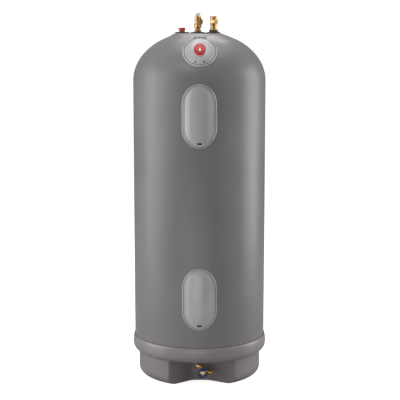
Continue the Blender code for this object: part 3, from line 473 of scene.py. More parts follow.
LENGTHWISE = (1, 1, 0.05)
AROUND = (1, 1, 18)
MATS = {
    "jacket": surface("jacket_polymer", ((0.152, 0.145, 0.15), (0.174, 0.166, 0.171)), (0.32, 0.42),
        (5, 4), (950, 0.00006), waves=(9, 0.001), streak=(26, LENGTHWISE), specular=0.3),
    "pedestal": surface("pedestal_polymer", ((0.176, 0.161, 0.161), (0.208, 0.192, 0.192)), (0.3, 0.42),
        (7, 4), (800, 0.00007), waves=(9, 0.0026), specular=0.5),
    "cover": surface("cover_polymer", ((0.335, 0.332, 0.34), (0.368, 0.365, 0.372)), (0.24, 0.34),
        (16, 3), (1400, 0.00005), waves=(18, 0.0004), specular=0.5, crown=True),
    # near-black grey for the seam bead and the groove strips: painted shadow in gaps and grooves
    "shadow_line": surface("painted_groove_shadow", ((0.075, 0.072, 0.074), (0.11, 0.106, 0.108)), (0.6, 0.8),
        (40, 2), (1200, 0.00005), specular=0.25),
    "rubber": surface("grommet_rubber", ((0.012, 0.012, 0.012), (0.035, 0.034, 0.033)), (0.55, 0.8),
        (40, 3), (1100, 0.00008), specular=0.35),
    "brass": surface("turned_brass", ((0.58, 0.36, 0.13), (0.72, 0.5, 0.23)), (0.16, 0.36), (60, 4),
        (1500, 0.00003), metallic=1, worn=((0.86, 0.68, 0.4), 0.5), streak=(120, AROUND)),
    "cast_brass": surface("cast_brass", ((0.6, 0.39, 0.14), (0.84, 0.62, 0.29)), (0.24, 0.44), (70, 4),
        (900, 0.00012), metallic=1, worn=((0.85, 0.66, 0.36), 0.6)),
    "aged_brass": surface("aged_brass", ((0.3, 0.155, 0.055), (0.6, 0.385, 0.17)), (0.22, 0.46),
        (85, 5), (900, 0.0001), metallic=1, worn=((0.8, 0.6, 0.34), 0.5),
        streak=(90, (1, 1, 0.12))),
    "bushing": surface("insulating_bushing", ((0.03, 0.024, 0.018), (0.06, 0.048, 0.034)), (0.4, 0.6),
        (60, 3), (1200, 0.00005)),
    "steel": surface("plated_steel", ((0.52, 0.52, 0.53), (0.66, 0.66, 0.67)), (0.18, 0.38), (90, 3),
        (1300, 0.00003), metallic=1, streak=(200, (1, 14, 1))),
    "bright_steel": surface("bright_steel", ((0.74, 0.74, 0.75), (0.88, 0.88, 0.88)), (0.3, 0.48),
        (90, 3), (1300, 0.00003), metallic=1),
    "red": surface("red_polymer", ((0.42, 0.012, 0.01), (0.56, 0.03, 0.022)), (0.26, 0.4), (50, 3),
        (1200, 0.00004), coat=0.15),
    "badge": surface("badge_enamel", ((0.26, 0.006, 0.01), (0.46, 0.016, 0.014)), (0.3, 0.44), (36, 2),
        (700, 0.00002), specular=0.22),
    "badge_ring": surface("badge_plating", ((0.36, 0.35, 0.35), (0.48, 0.46, 0.46)), (0.28, 0.42),
        (80, 2), (1500, 0.00002), metallic=0.35),
    "blue": surface("wheel_enamel", ((0.006, 0.011, 0.085), (0.014, 0.024, 0.155)), (0.22, 0.4),
        (90, 3), (700, 0.00012), worn=((0.1, 0.12, 0.3), 0.5), coat=0.3),
    "black": surface("black_phenolic", ((0.012, 0.012, 0.013), (0.024, 0.023, 0.023)), (0.34, 0.52),
        (60, 3), (1300, 0.00005), specular=0.3),
    "white": surface("white_nylon", ((0.66, 0.65, 0.61), (0.76, 0.75, 0.72)), (0.35, 0.5), (30, 3),
        (1100, 0.00005)),
    "sheath": surface("element_sheath", ((0.26, 0.24, 0.22), (0.44, 0.41, 0.38)), (0.28, 0.45), (60, 4),
        (900, 0.00006), metallic=1),
    "liner": surface("liner_polymer", ((0.46, 0.48, 0.51), (0.56, 0.58, 0.61)), (0.35, 0.5), (8, 3),
        (900, 0.00006)),
    "foam": surface("insulating_foam", ((0.58, 0.45, 0.22), (0.74, 0.61, 0.36)), (0.8, 0.95), (40, 5),
        (420, 0.0006), specular=0.2),
    "glass_fibre": surface("wound_fibreglass", ((0.34, 0.38, 0.24), (0.52, 0.56, 0.38)), (0.22, 0.42),
        (14, 4), (700, 0.0002), streak=(60, (1, 1, 12)), coat=0.4),
}
for name, colour in WIRES.items():
    darker = tuple(c * 0.75 for c in colour)
    MATS["wire_" + name] = surface(
        f"wire_{name}_jacket", (darker, colour), (0.32, 0.45), (120, 2), (1400, 0.00003),
    )


# ---- jacket
def stadium(width, height, middle=(0, 0), steps=24):
    """An upright rounded slot, its ends half ellipses."""
    r = width / 2
    end = r * END_RISE
    rise = height / 2 - end
    top = arc((middle[0], middle[1] + rise), (r, end), 0, 180, steps)
    return top + arc((middle[0], middle[1] - rise), (r, end), 180, 360, steps)


def shell_ring(radius, height, shift=0):
    return [Vector((shift + radius * cos(a), radius * sin(a), height)) for a in circle(JACKET_SIDES)]


def jacket_skin(finish):
    """The straight side, the domed shoulder, and the boss with its soft foot and rounded edge."""
    wall = JACKET_WALL
    stop = degrees(acos(DOME_FLAT_R / BODY_R))
    rows = 96
    side = [(BODY_R, JACKET_BOTTOM + (DOME_Z - JACKET_BOTTOM) * i / rows) for i in range(rows)]
    dome = arc((0, DOME_Z), (BODY_R, DOME_RISE), 0, stop, 36)
    flat = dome[-1][1]
    boss = [(BOSS_FOOT_R + 0.003, flat + 0.0004), (BOSS_R, TOP_Z - 0.003), (BOSS_R - 0.01, TOP_Z)]
    boss = rounded([dome[-6], *boss, (0.05, TOP_Z)], 0.05, closed=False, steps=8)[1:-1]
    outer = side + dome[:-5] + boss
    inner = [(r - wall, z) for r, z in arc((0, DOME_Z), (BODY_R, DOME_RISE - wall), 0, stop, 12)]
    rings = []
    for r, z in outer:
        toward = min(max((DOME_FLAT_R + 0.006 - r) / (DOME_FLAT_R + 0.006 - BOSS_R), 0), 1)
        rings.append(shell_ring(r, z, PORT_SHIFT * toward))
    rings += [[Vector((PORT_SHIFT, 0, TOP_Z))], [Vector((0, 0, flat - 0.006))]]
    rings += [shell_ring(r, z) for r, z in reversed(inner)]
    heights = [DOME_Z + (JACKET_BOTTOM - DOME_Z) * i / 24 for i in range(1, 25)]
    rings += [shell_ring(BODY_R - wall, z) for z in heights]
    shape = skinned(rings)
    openings = [extruded(stadium(OPENING_W, OPENING_H, (0, z)), 0.2, 0.34) for z in COVER_Z.values()]
    cuts = [moved(opening, FACING) for opening in openings]
    skin("jacket_skin", shape, finish, "outer_jacket", "jacket_plastic", cuts=cuts)


# ---- pedestal
def soft_min(a, b, blend):
    return min(a, b) - max(blend - abs(a - b), 0) ** 2 / (4 * blend)


def bay_reach(angle):
    """How far the drain bay's walls stand from the heater's axis, at an angle from the front."""
    c, s = cos(angle), sin(angle)
    if c < 0.5:
        return 1.0
    back = -BAY_BACK_Y / c
    reaches = []
    for corner_x, mouth in zip(BAY_BACK_X, BAY_MOUTH):
        along = Vector((mouth[0] - corner_x, mouth[1] - BAY_BACK_Y))
        across = Vector((along.y, -along.x))
        offset = across.dot(Vector((corner_x, BAY_BACK_Y)))
        facing = across.dot(Vector((s, -c)))
        reaches.append(offset / facing if offset * facing > 0 else 1.0)
    return -soft_min(-back, -max(reaches), 0.014)


def skirt_reach(height):
    """The skirt's radius, with its rounded foot."""
    if height >= FOOT_ROUND:
        return SKIRT_R
    drop = FOOT_ROUND - height
    return SKIRT_R - FOOT_ROUND + sqrt(max(FOOT_ROUND**2 - drop**2, 0))


def pedestal_reach(angle, height):
    reach = bay_reach(angle)
    top = height - (BAY_CEILING - 0.008)
    if top > 0:
        reach += 0.008 - sqrt(max(0.008**2 - top**2, 0))
    return soft_min(skirt_reach(height), reach, 0.007)


def rim_profile():
    """The rolled rim, from the lip that cups the jacket down to the skirt."""
    corners = [
        (BODY_R + 0.0008, RIM_TOP - 0.012), (BODY_R + 0.0011, RIM_TOP - 0.0012),
        (BODY_R + 0.0028, RIM_TOP), (BODY_R + 0.0052, RIM_TOP - 0.004), (RIM_R - 0.0004, RIM_TOP - 0.019),
        (RIM_R, RIM_TOP - 0.034), (RIM_R, 0.137), (RIM_R - 0.006, 0.1215), (RIM_R - 0.017, 0.117),
        (SKIRT_R + 0.001, 0.1135),
    ]
    return [corners[0], *eased(corners[1:])]


def pedestal_skin(finish):
    """A rolled rim over a tapered skirt, with the soft-edged bay for the drain valve at the front."""
    near = [-52 + 108 * i / 216 for i in range(217)]
    far = [56 + 252 * i / 84 for i in range(1, 84)]
    angles = [radians(a) for a in near + far]
    rings = []

    def ring(radius_at, height):
        rings.append([from_front(radius_at(a), a, height) for a in angles])

    for r, z in rim_profile():
        ring(lambda a, r=r: r, z)
    ceiling = BAY_CEILING
    for share in (0.0, 0.35, 0.7, 1.0):
        height = ceiling + 0.0012 * (1 - share)
        ring(lambda a, share=share: SKIRT_R + (pedestal_reach(a, ceiling) - SKIRT_R) * share, height)
    heights = [ceiling - 0.008 + 0.008 * sin(radians(a)) for a in (70, 50, 30, 10)]
    heights += [0.098, 0.085, 0.07, 0.055, 0.044]
    heights += [FOOT_ROUND * (1 - sin(radians(a))) for a in range(0, 91, 9)]
    for z in heights:
        ring(lambda a, z=z: pedestal_reach(a, z), z)
    ring(lambda a: pedestal_reach(a, 0) - 0.0115, 0.0)
    for z in (0.012, 0.055, 0.1):
        ring(lambda a, z=z: pedestal_reach(a, z) - 0.0115, z)
    deck = 0.1265
    ring(lambda a: SKIRT_R - 0.012, deck)
    ring(lambda a: 0.06, deck)
    ring(lambda a: 0.06, 0.1345)
    ring(lambda a: BODY_R + 0.0008, 0.1345)
    hole = revolve(box_line(0, 0.0125, 0.02, 0.2), 40)
    cut = moved(hole, at(ELBOW.x, -0.03, ELBOW.z) @ FACING)
    skin("pedestal_skin", skinned(rings), finish, "base_pedestal", "pedestal_plastic", cuts=[cut], sharp=40)


def seam_shade_bead(finish):
    """A dark bead in the seam between the jacket and the rim, painted shade for the shadow gap there."""
    line = box_line(BODY_R - 0.0005, BODY_R + 0.0009, RIM_TOP - 0.004, RIM_TOP + 0.0022)
    piece("seam_shade_bead", revolve(rounded(line, 0.0006), JACKET_SIDES), finish, slot="pedestal_plastic")


# ---- access covers
COVER_EDGE = (
    (0, 0.0006), (0.0005, 0.0019), (0.0014, 0.0027), (0.0026, 0.003), (0.0038, 0.0027), (0.0046, 0.0019),
    (0.0051, 0.0008), (0.0055, 0.0003), (0.0062, 0.0003), (0.0066, 0.0008), (0.0071, 0.002), (0.0082, 0.0029),
    (0.0094, 0.0032), (0.0106, 0.0029), (0.0116, 0.0021), (0.0122, 0.0018),
)


COVER_INSETS = [inset for inset, _ in COVER_EDGE]
COVER_INSETS += [COVER_EDGE[-1][0] + 0.0613 * (i / 26) ** 1.5 for i in range(1, 27)]
COVER_WALL = 0.0024
# insets and lifts of the dark strip that paints the shadow in a cover's groove
GROOVE_SHADE_LINE = ((0.0052, 0.0004), (0.0053, 0.0009), (0.00585, 0.0011), (0.0064, 0.0009), (0.0065, 0.0004))
SNAP_LINE = (
    (0.004, 0.2935), (0.004, 0.2875), (0.0032, 0.286), (0.0032, 0.284), (0.005, 0.2822), (0.009, 0.2822),
    (0.009, 0.2935),
)
LATCH_RISE = 0.0203


def cover_height(inset, across=0.0, up=0.0):
    """How far a cover's face stands off the jacket: two beads, a groove and a pillowed panel."""
    edge, low = COVER_EDGE[-1]
    if inset <= edge:
        return float(np.interp(inset, *zip(*COVER_EDGE)))
    share = min((inset - edge) / 0.036, 1)
    crown = max((1 - (across / 0.0575) ** 2) * (1 - (up / 0.119) ** 6), 0)
    return low + 0.0031 * (1 - (1 - share) ** 2.4) + 0.0008 * crown


def wrapped(width, height, z, reach):
    """An upright slot's outline, laid round the heater's axis at reach(across, up)."""
    outline = stadium(width, height, (0, z), steps=40)
    return [Vector((x, -sqrt(reach(x, h - z) ** 2 - x**2), h)) for x, h in outline]


def cover_ring(inset, z, sunk=0.0):
    """One closed line round the cover, this far in from its edge, on its face or sunk behind it."""

    def reach(across, up):
        return BODY_R + max(cover_height(inset, across, up) - sunk, GAP)

    return wrapped(COVER_W - 2 * inset, COVER_H - 2 * inset, z, reach)


def snap_ring(z):
    """The ring behind the cover that plugs into the jacket's opening, with a bead round it."""
    return skinned([wrapped(OPENING_W - w, OPENING_H - w, z, lambda *_, r=r: r) for w, r in SNAP_LINE])


def latch_slot(z):
    """A slot of two joined lobes near the cover's foot."""
    middle = z - COVER_H / 2 + LATCH_RISE
    lines = [arc((x, middle), (0.0055, 0.0046), 0, 350, 35) for x in (-0.005, 0.005)]
    lines.append(box_line(-0.005, 0.005, middle - 0.003, middle + 0.003))
    return [moved(extruded(line, 0.27, 0.33), FACING) for line in lines]


def access_cover(which, finish):
    """A cover's moulding, open at the latch slot, with its snap ring behind."""
    z = COVER_Z[which]
    front = [cover_ring(inset, z) for inset in COVER_INSETS]
    back = [cover_ring(inset, z, COVER_WALL) for inset in COVER_INSETS[1:] if not 0.001 <= inset <= 0.0135]
    spine = stadium(0, COVER_H - COVER_W, (0, z), steps=40)
    crest = cover_height(COVER_W / 2)
    lifts = (crest - COVER_WALL, crest)
    inner, outer = ([Vector((x, -BODY_R - lift, h)) for x, h in spine] for lift in lifts)
    shape = together(skinned([inner, *reversed(back), *front, outer], ends=False), snap_ring(z))
    piece(
        which + "_cover_skin", shape, finish, which + "_cover", (which + "_access_cover",), "cover_plastic",
        cuts=latch_slot(z), sharp=30,
    )


def slot_shade(which, finish):
    """A dark plate behind the latch slot: painted shade for the slot's dark inside."""
    z = COVER_Z[which] - COVER_H / 2 + LATCH_RISE
    outline = rounded(box_line(-0.0115, 0.0115, z - 0.0055, z + 0.0055), 0.002)
    shape = moved(extruded(outline, 0.2832, 0.2862), FACING)
    piece(which + "_latch_slot_shade", shape, finish, which + "_cover", slot="black_plastic", bevel=0.0003)


def cover_groove_shade(which, finish):
    """A dark strip in the groove between a cover's frame and its panel: the groove's shadow line, painted."""
    rings = []
    for inset, lift in GROOVE_SHADE_LINE:
        size = (COVER_W - 2 * inset, COVER_H - 2 * inset)
        rings.append(wrapped(*size, COVER_Z[which], lambda *_, lift=lift: BODY_R + lift))
    piece(which + "_cover_groove_shade", skinned(rings), finish, which + "_cover", slot="cover_plastic", sharp=60)


# ---- junction cover on the dome
def junction_frame():
    """Local +Z leaves the dome square to the junction cover, and local +Y runs up the slope."""
    c, s = cos(JUNCTION_TILT), sin(JUNCTION_TILT)
    turn = Matrix(((1, 0, 0), (0, s, c), (0, -c, s))).transposed().to_4x4()
    return Matrix.Translation(JUNCTION_MID) @ turn


def dome_gap(point):
    """How far outside the dome's surface a point lies, along the radius."""
    rise = point.z - DOME_Z
    if rise <= 0:
        radius = BODY_R
    elif rise >= DOME_RISE:
        radius = 0.0
    else:
        radius = BODY_R * sqrt(1 - (rise / DOME_RISE) ** 2)
    return hypot(point.x, point.y) - radius


def on_dome(across, up, lift):
    """The point over (across, up) of the junction plane that stands lift off the dome."""
    place = junction_frame()
    low, high = -0.05, 0.05
    for _ in range(34):
        middle = (low + high) / 2
        if dome_gap(place @ Vector((across, up, middle))) > 0:
            high = middle
        else:
            low = middle
    return place @ Vector((across, up, low + lift))


def oval_ring(half_width, half_height, lift, middle=(0, 0), steps=96):
    x, y = middle
    return [on_dome(x + half_width * cos(a), y + half_height * sin(a), lift) for a in circle(steps)]


JUNCTION_EDGE = (
    (0.0, 0.0004), (0.0006, 0.0022), (0.0018, 0.0031), (0.0034, 0.0033), (0.0052, 0.0031), (0.0062, 0.0022),
    (0.0068, 0.0007), (0.0086, 0.0007), (0.0092, 0.0022), (0.011, 0.0042), (0.015, 0.0052), (0.026, 0.0057),
    (0.075, 0.0058),
)
JUNCTION_INSETS = (
    0.0, 0.0003, 0.0006, 0.0012, 0.0018, 0.0026, 0.0034, 0.0043, 0.0052, 0.0057, 0.0062, 0.0068, 0.0077,
    0.0086,
    0.0089, 0.0092, 0.01, 0.011, 0.0128, 0.015, 0.018, 0.0215, 0.026, 0.033, 0.041, 0.05, 0.059, 0.067,
    0.0745,
)


def junction_ring(inset, lift):
    width, height = JUNCTION_SIZE
    return oval_ring(width - inset, height - inset, lift)


def junction_cover(finish):
    """A bezel ring, a groove and a low crowned panel that follow the dome."""
    lifts = np.interp(JUNCTION_INSETS, *zip(*JUNCTION_EDGE))
    front = [junction_ring(inset, float(lift)) for inset, lift in zip(JUNCTION_INSETS, lifts)]
    back = [junction_ring(inset, 0.0002) for inset in (0.0745, 0.02, 0.0003)]
    hole = revolve(box_line(0, 0.004, -0.0012, 0.02), 32)
    cuts = [moved(hole, screw_frame(side)) for side in (-1, 1)]
    shape = skinned(front + back)
    skin("junction_cover_skin", shape, finish, "junction_cover", "cover_plastic", cuts=cuts, sharp=30)


def junction_groove_shade(finish):
    """A dark strip in the junction cover's groove: its shadow line, painted."""
    line = ((0.0068, 0.0006), (0.007, 0.0013), (0.0077, 0.0016), (0.0084, 0.0013), (0.0086, 0.0006))
    rings = [junction_ring(inset, lift) for inset, lift in line]
    piece("junction_cover_groove_shade", skinned(rings), finish, slot="cover_plastic", sharp=60)


def screw_frame(side):
    x, y, z = SCREW_AT
    return junction_frame() @ at(side * x, y, z) @ turned(SCREW_LEAN, "X")


def junction_screws(finish):
    """Pan heads with a cross recess, each sunk in its hole."""
    profile = [(0, -0.001), (0.0034, -0.001), (0.0035, 0.0016), (0.0022, 0.0026), (0, 0.0028)]
    pan = revolve(rounded(profile, 0.0006), 40)
    bar = slab((-0.0018, -0.00035, 0.0014), (0.0018, 0.00035, 0.004))
    for side, name in ((-1, "left"), (1, "right")):
        head = moved(pan, screw_frame(side))
        turns = [screw_frame(side) @ turned(angle, "Z") for angle in (0.6, 0.6 + pi / 2)]
        cuts = [moved(bar, turn) for turn in turns]
        node = "junction_screw_" + name
        skin("junction_screw_head_" + name, head, finish, node, "black_plastic", cuts=cuts)


def badge(enamel, plating, relief):
    """A generic domed badge: a bright ring, an enamel field, and a plain drop in relief."""
    width, height = BADGE_SIZE
    base = 0.0058 + GAP
    middle = -0.001

    def rings(*line):
        return [oval_ring(width - d, height - d * 1.35, base + lift, (0, middle), 80) for d, lift in line]

    edge = ((0, 0.0), (0.0002, 0.0014), (0.0007, 0.0019), (0.0014, 0.0019), (0.0019, 0.0013))
    rim = rings(*edge, (0.0021, 0.0))
    skin("badge_ring", skinned(rim), plating, "cover_badge", "red_plastic", sharp=50)
    panel = ((0.002, 0.0), (0.002, 0.001), (0.0034, 0.0014), (0.007, 0.0019), (0.012, 0.0023))
    field = skinned(rings(*panel, (0.0277, 0.0025)), ends=False)
    piece("badge_field", field, enamel, slot="red_plastic", sharp=50)
    outline = []
    for a in circle(48):
        waist = sin(a / 2) ** 1.5
        outline.append((0.007 * sin(a) * waist, 0.014 * cos(a) - 0.002))
    drop = []
    for share, lift in ((1.0, 0.002), (0.96, 0.0026), (0.8, 0.0029), (0.45, 0.003), (0.02, 0.003)):
        drop.append([on_dome(x * share, y * share + middle, base + lift - 0.0004) for x, y in outline])
    piece("badge_drop", skinned(drop, ends=False), relief, slot="white_plastic", sharp=60)


def cover_clip(finish, dark):
    """A narrow clip that holds the junction cover's upper edge, with three dark discs in its front that paint
    the shade in its holes.
    """
    back = Vector((0, 0.004, 0.0006))
    rings = []
    for i in range(25):
        low = on_dome(-0.0265 + 0.056 * i / 24, 0.0915, -0.0006)
        share = max(1 - abs((i - 12) / 12.5) ** 3, 0) ** 0.5
        high = low + Vector((0, 0.0018, 0.0072)) * (0.25 + 0.75 * share)
        crest = high + Vector((0, 0.0009, 0.0004))
        rings.append([low, low * 0.12 + high * 0.88, crest, high + back * 0.8, low + back])
    first, last = ([sum(ring, Vector()) / 5] for ring in (rings[0], rings[-1]))
    shape = skinned([first, *rings, last], ends=False)
    piece("cover_clip", shape, finish, slot="cover_plastic", sharp=35, bevel=0.0004)
    # dark rubber discs stand for the three holes: painted shade
    profile = [(0, -0.001), (0.0025, -0.001), (0.0025, 0.001), (0.0021, 0.0014), (0, 0.0014)]
    plug = revolve(rounded(profile, 0.0004), 32)
    for k, across in enumerate((-0.0202, -0.0018, 0.0189)):
        foot = on_dome(across, 0.093, 0.0) + Vector((0, 0.0008, 0.003))
        out = at(*foot) @ turned(radians(76), "X")
        piece(f"clip_hole_shade_{k}", moved(plug, out), dark, slot="black_rubber")


# ---- water fittings
def grommets(finish):
    """A rubber washer round each fitting, with a rolled edge and an inner lip."""
    bore = PIPE_R + 0.0004
    rim = ((0.0284, -0.0006), (0.0215, -0.001), (0.02, 0), (bore + 0.001, 0), (bore, -0.0006))
    corners = raised(TOP_Z, (bore, 0.0002), (0.03, 0.0002), (0.03, 0.003)) + raised(GROMMET_TOP, *rim)
    shape = revolve(rounded(corners, 0.0011), 80)
    for which, x in PORT_X.items():
        place = at(x, 0, 0)
        skin(which + "_grommet_skin", moved(shape, place), finish, which + "_port_grommet", "black_rubber")


def hot_outlet():
    """The threaded outlet stub and its ribbed shipping cap."""
    here = at(PORT_X["hot"], 0, 0)
    top = TOP_Z + 0.0205
    profile = raised(TOP_Z, (0.0103, -0.02), (0.0125, -0.02)) + threads(PIPE_R, TOP_Z - 0.002, top - 0.001)
    profile += raised(top, (PIPE_R - 0.0008, 0), (0.0108, 0), (0.0103, -0.0006))
    nipple = moved(revolve(profile, 72), here)
    skin("hot_nipple_skin", nipple, MATS["aged_brass"], "hot_outlet_nipple", "brass")
    low = TOP_Z + 0.0128
    rim = ((0.0148, -0.0044), (0.0157, -0.0036), (0.0157, -0.0008), (0.0146, 0), (0.01, 0), (0.0092, -0.0012))
    corners = [(0, top + GAP), (PIPE_R + GAP, top + GAP), (PIPE_R + GAP, low), (0.0148, low)]
    corners += raised(TOP_Z + 0.0228, *rim, (0, -0.0012))

    def ribbed(angle):
        return 0.01535 + 0.00035 * cos(angle * 28)

    cap = revolve(rounded(corners, 0.0006), 168, ribbed)
    piece("hot_cap_skin", moved(cap, here), MATS["red"], "hot_cap", ("hot_outlet_cap",), "red_plastic")


def relief_valve():
    """Turned and cast brass: threaded foot, hexagon, barrel with its side spout, and bonnet."""
    here = at(PORT_X["relief"], 0, 0)
    hex_low, hex_high, barrel_top, cap_top = (TOP_Z + rise for rise in (0.0228, 0.0407, 0.064, 0.077))
    foot = raised(TOP_Z, (0.0095, -0.02), (0.0125, -0.02)) + raised(GROMMET_TOP, (0.0131, GAP), (0.0145, GAP))
    foot += raised(TOP_Z, (0.0145, 0.0128), (0.0122, 0.0146), (0.0116, 0.018))
    foot += raised(hex_low, (0.0124, 0), (0.0095, 0))
    collar = raised(hex_low, (0.0107, 0), (0.0155, 0), (0.0172, 0.003))
    collar += raised(hex_high, (0.0172, -0.004), (0.015, 0), (0.0107, 0))
    barrel = raised(hex_high, (0.0107, -0.002), (0.0148, -0.002), (0.014, 0.0022), (0.0134, 0.004))
    barrel += raised(barrel_top, (0.0134, -0.0045), (0.014, -0.0035), (0.014, 0), (0.0107, 0))
    body = together(
        revolve(rounded(foot, 0.0007), 72),
        revolve(rounded(collar, 0.0012), 96, hexagon_limit(0.033)),
        revolve(rounded(barrel, 0.0008), 72),
    )
    aside = turned(RELIEF_YAW, "Z") @ turned(-pi / 2, "X")
    inside = [(r, 0.0375 - z) for r, z in threads(0.0131, 0.002, 0.016, depth=0.0008)]
    spout = [
        (0.0088, 0.0108), (0.0148, 0.0108), (0.0148, 0.0165), (0.0165, 0.0185), (0.0165, 0.0345),
        (0.0156, 0.036), (0.0132, 0.036), *[(r, z) for r, z in inside if z < 0.0358], (0.0088, 0.019),
    ]
    shape = together(moved(body, here), moved(revolve(spout, 72), here @ at(0, 0, OUTLET_Z) @ aside))
    skin("relief_body_skin", shape, MATS["aged_brass"], "relief_valve_body", "brass", sharp=38)
    bonnet = raised(cap_top, (0.0032, 0), (0.0032, -0.003), (0.0105, -0.003))
    bonnet += raised(barrel_top, (0.0105, GAP), (0.014, GAP), (0.014, 0.005), (0.0128, 0.006))
    bonnet += raised(cap_top, (0.0128, -0.0022), (0.0112, 0))
    shape = moved(revolve(rounded(bonnet, 0.0007), 72), here)
    skin("relief_bonnet_skin", shape, MATS["aged_brass"], "relief_bonnet", "brass")


def cold_inlet():
    """A dark bushing, and a brass check valve body with a wrench hexagon and a rolled top."""
    here = at(PORT_X["cold"], 0, 0)
    bushing_top, hex_low, hex_high, top = (TOP_Z + rise for rise in (0.0145, 0.04, 0.057, 0.0735))
    bushing = [
        (PIPE_R + GAP, GROMMET_TOP + GAP), (0.02, GROMMET_TOP + GAP), (0.02, bushing_top - 0.0022),
        (0.0186, bushing_top), (PIPE_R + GAP, bushing_top),
    ]
    shape = moved(revolve(rounded(bushing, 0.001), 80), here)
    skin("cold_bushing_skin", shape, MATS["bushing"], "cold_inlet_bushing", "dark_bushing")
    body = raised(bushing_top, (0.0085, -0.01), (0.013, -0.01), (0.013, GAP), (0.015, GAP), (0.015, 0.005))
    body += [(0.0142, bushing_top + 0.0065), (0.0142, hex_low - 0.004), (0.015, hex_low - 0.001)]
    body += raised(hex_high, (0.015, 0), (0.0155, 0.0015))
    body += raised(top, (0.0155, -0.0055), (0.0149, -0.0047), (0.0155, -0.0038), (0.0155, -0.001))
    body += raised(top, (0.0148, 0), (0.0132, 0), (0.0124, -0.0012))
    body += reversed(threads(0.0131, top - 0.02, top - 0.002, depth=0.0008))
    body.append((0.0085, top - 0.0205))
    nut = hex_nut(0.036, hex_low, hex_high, 0.0135, chamfer=0.0022)
    shape = moved(together(revolve(body, 80), nut), here)
    skin("cold_body_skin", shape, MATS["aged_brass"], "cold_inlet_body", "brass", sharp=38)


def conduit_plug():
    line = ((0.0135, 0.0002), (0.0133, 0.0016), (0.012, 0.0024), (0.006, 0.0026), (0.0052, 0.0018))
    profile = rounded(raised(TOP_Z, (0, 0.0002), *line, (0, 0.0018)), 0.0006)
    shape = moved(revolve(profile, 56), at(*CONDUIT_AT, 0))
    skin("conduit_plug_skin", shape, MATS["black"], "conduit_plug", "black_plastic")


# ---- drain valve
def valve_leg(profile, start, angle, segments=64):
    """A turned piece whose axis leaves start in the plane across the heater, at an angle from +X."""
    turn = turned(-angle, "Y") @ turned(pi / 2, "Y")
    return moved(revolve(profile, segments), Matrix.Translation(start) @ turn)


def ball(radius, centre):
    profile = arc((0, 0), (radius, radius), -90, 90, 20)
    profile[0] = (0, -radius)
    profile[-1] = (0, radius)
    return moved(revolve(profile, 48), Matrix.Translation(centre))


def drain_valve():
    """Elbow, globe body with angled legs, bonnet nut, and the blue handwheel on its stem."""
    wall = -BAY_BACK_Y
    front = -VALVE.y
    shank = rounded(box_line(0.0072, 0.0112, wall - 0.02, front), 0.001)
    nut = hex_nut(0.027, wall + GAP, wall + 0.007, 0.011)
    leg = [(0.01, 0.002), (0.012, 0.002), (0.0128, 0.005), (0.0128, 0.015), (0.0098, 0.015)]
    elbow = together(
        forward(revolve(shank, 56), ELBOW.x, ELBOW.z),
        forward(nut, ELBOW.x, ELBOW.z),
        ball(0.0131, ELBOW),
        valve_leg(rounded(leg, 0.0007), ELBOW, INLET_ANGLE + pi),
    )
    skin("drain_elbow_skin", elbow, MATS["cast_brass"], "drain_elbow", "brass")
    inlet = [(0.006, 0.0085), (0.0118, 0.0085), (0.0118, 0.014), (0.0106, 0.0154), (0.006, 0.0154)]
    outlet = [
        (0.0072, 0.01), (0.0104, 0.01), (0.0104, 0.0215), (0.011, 0.0225),
        *threads(0.0116, 0.0235, 0.0385, pitch=0.0024, depth=0.001), (0.0108, 0.0398), (0.0102, 0.0404),
        (0.0076, 0.0404), (0.0072, 0.0398),
    ]
    neck = raised(front, (0.008, 0), (0.0108, 0), (0.0108, 0.018), (0.01, 0.0186), (0.008, 0.0186))
    body = together(
        ball(0.0149, VALVE),
        valve_leg(rounded(inlet, 0.0007), VALVE, INLET_ANGLE),
        valve_leg(outlet, VALVE, OUTLET_ANGLE, 72),
        forward(revolve(rounded(neck, 0.0006), 56), VALVE.x, VALVE.z),
    )
    skin("drain_body_skin", body, MATS["cast_brass"], "drain_valve_body", "brass")
    packing = forward(hex_nut(0.022, front + 0.0189, front + 0.0275, STEM_BORE), VALVE.x, VALVE.z)
    skin("drain_packing_nut_skin", packing, MATS["brass"], "drain_packing_nut", "brass")
    drain_wheel(front)


SPOKE_LINE = (  # reach from the hub's middle, half width, underside and top
    (0.0075, 0.0056, -0.0005, 0.0046), (0.0115, 0.005, -0.0003, 0.004), (0.0155, 0.0047, 0.0, 0.0038),
    (0.02, 0.0054, 0.0, 0.004),
)


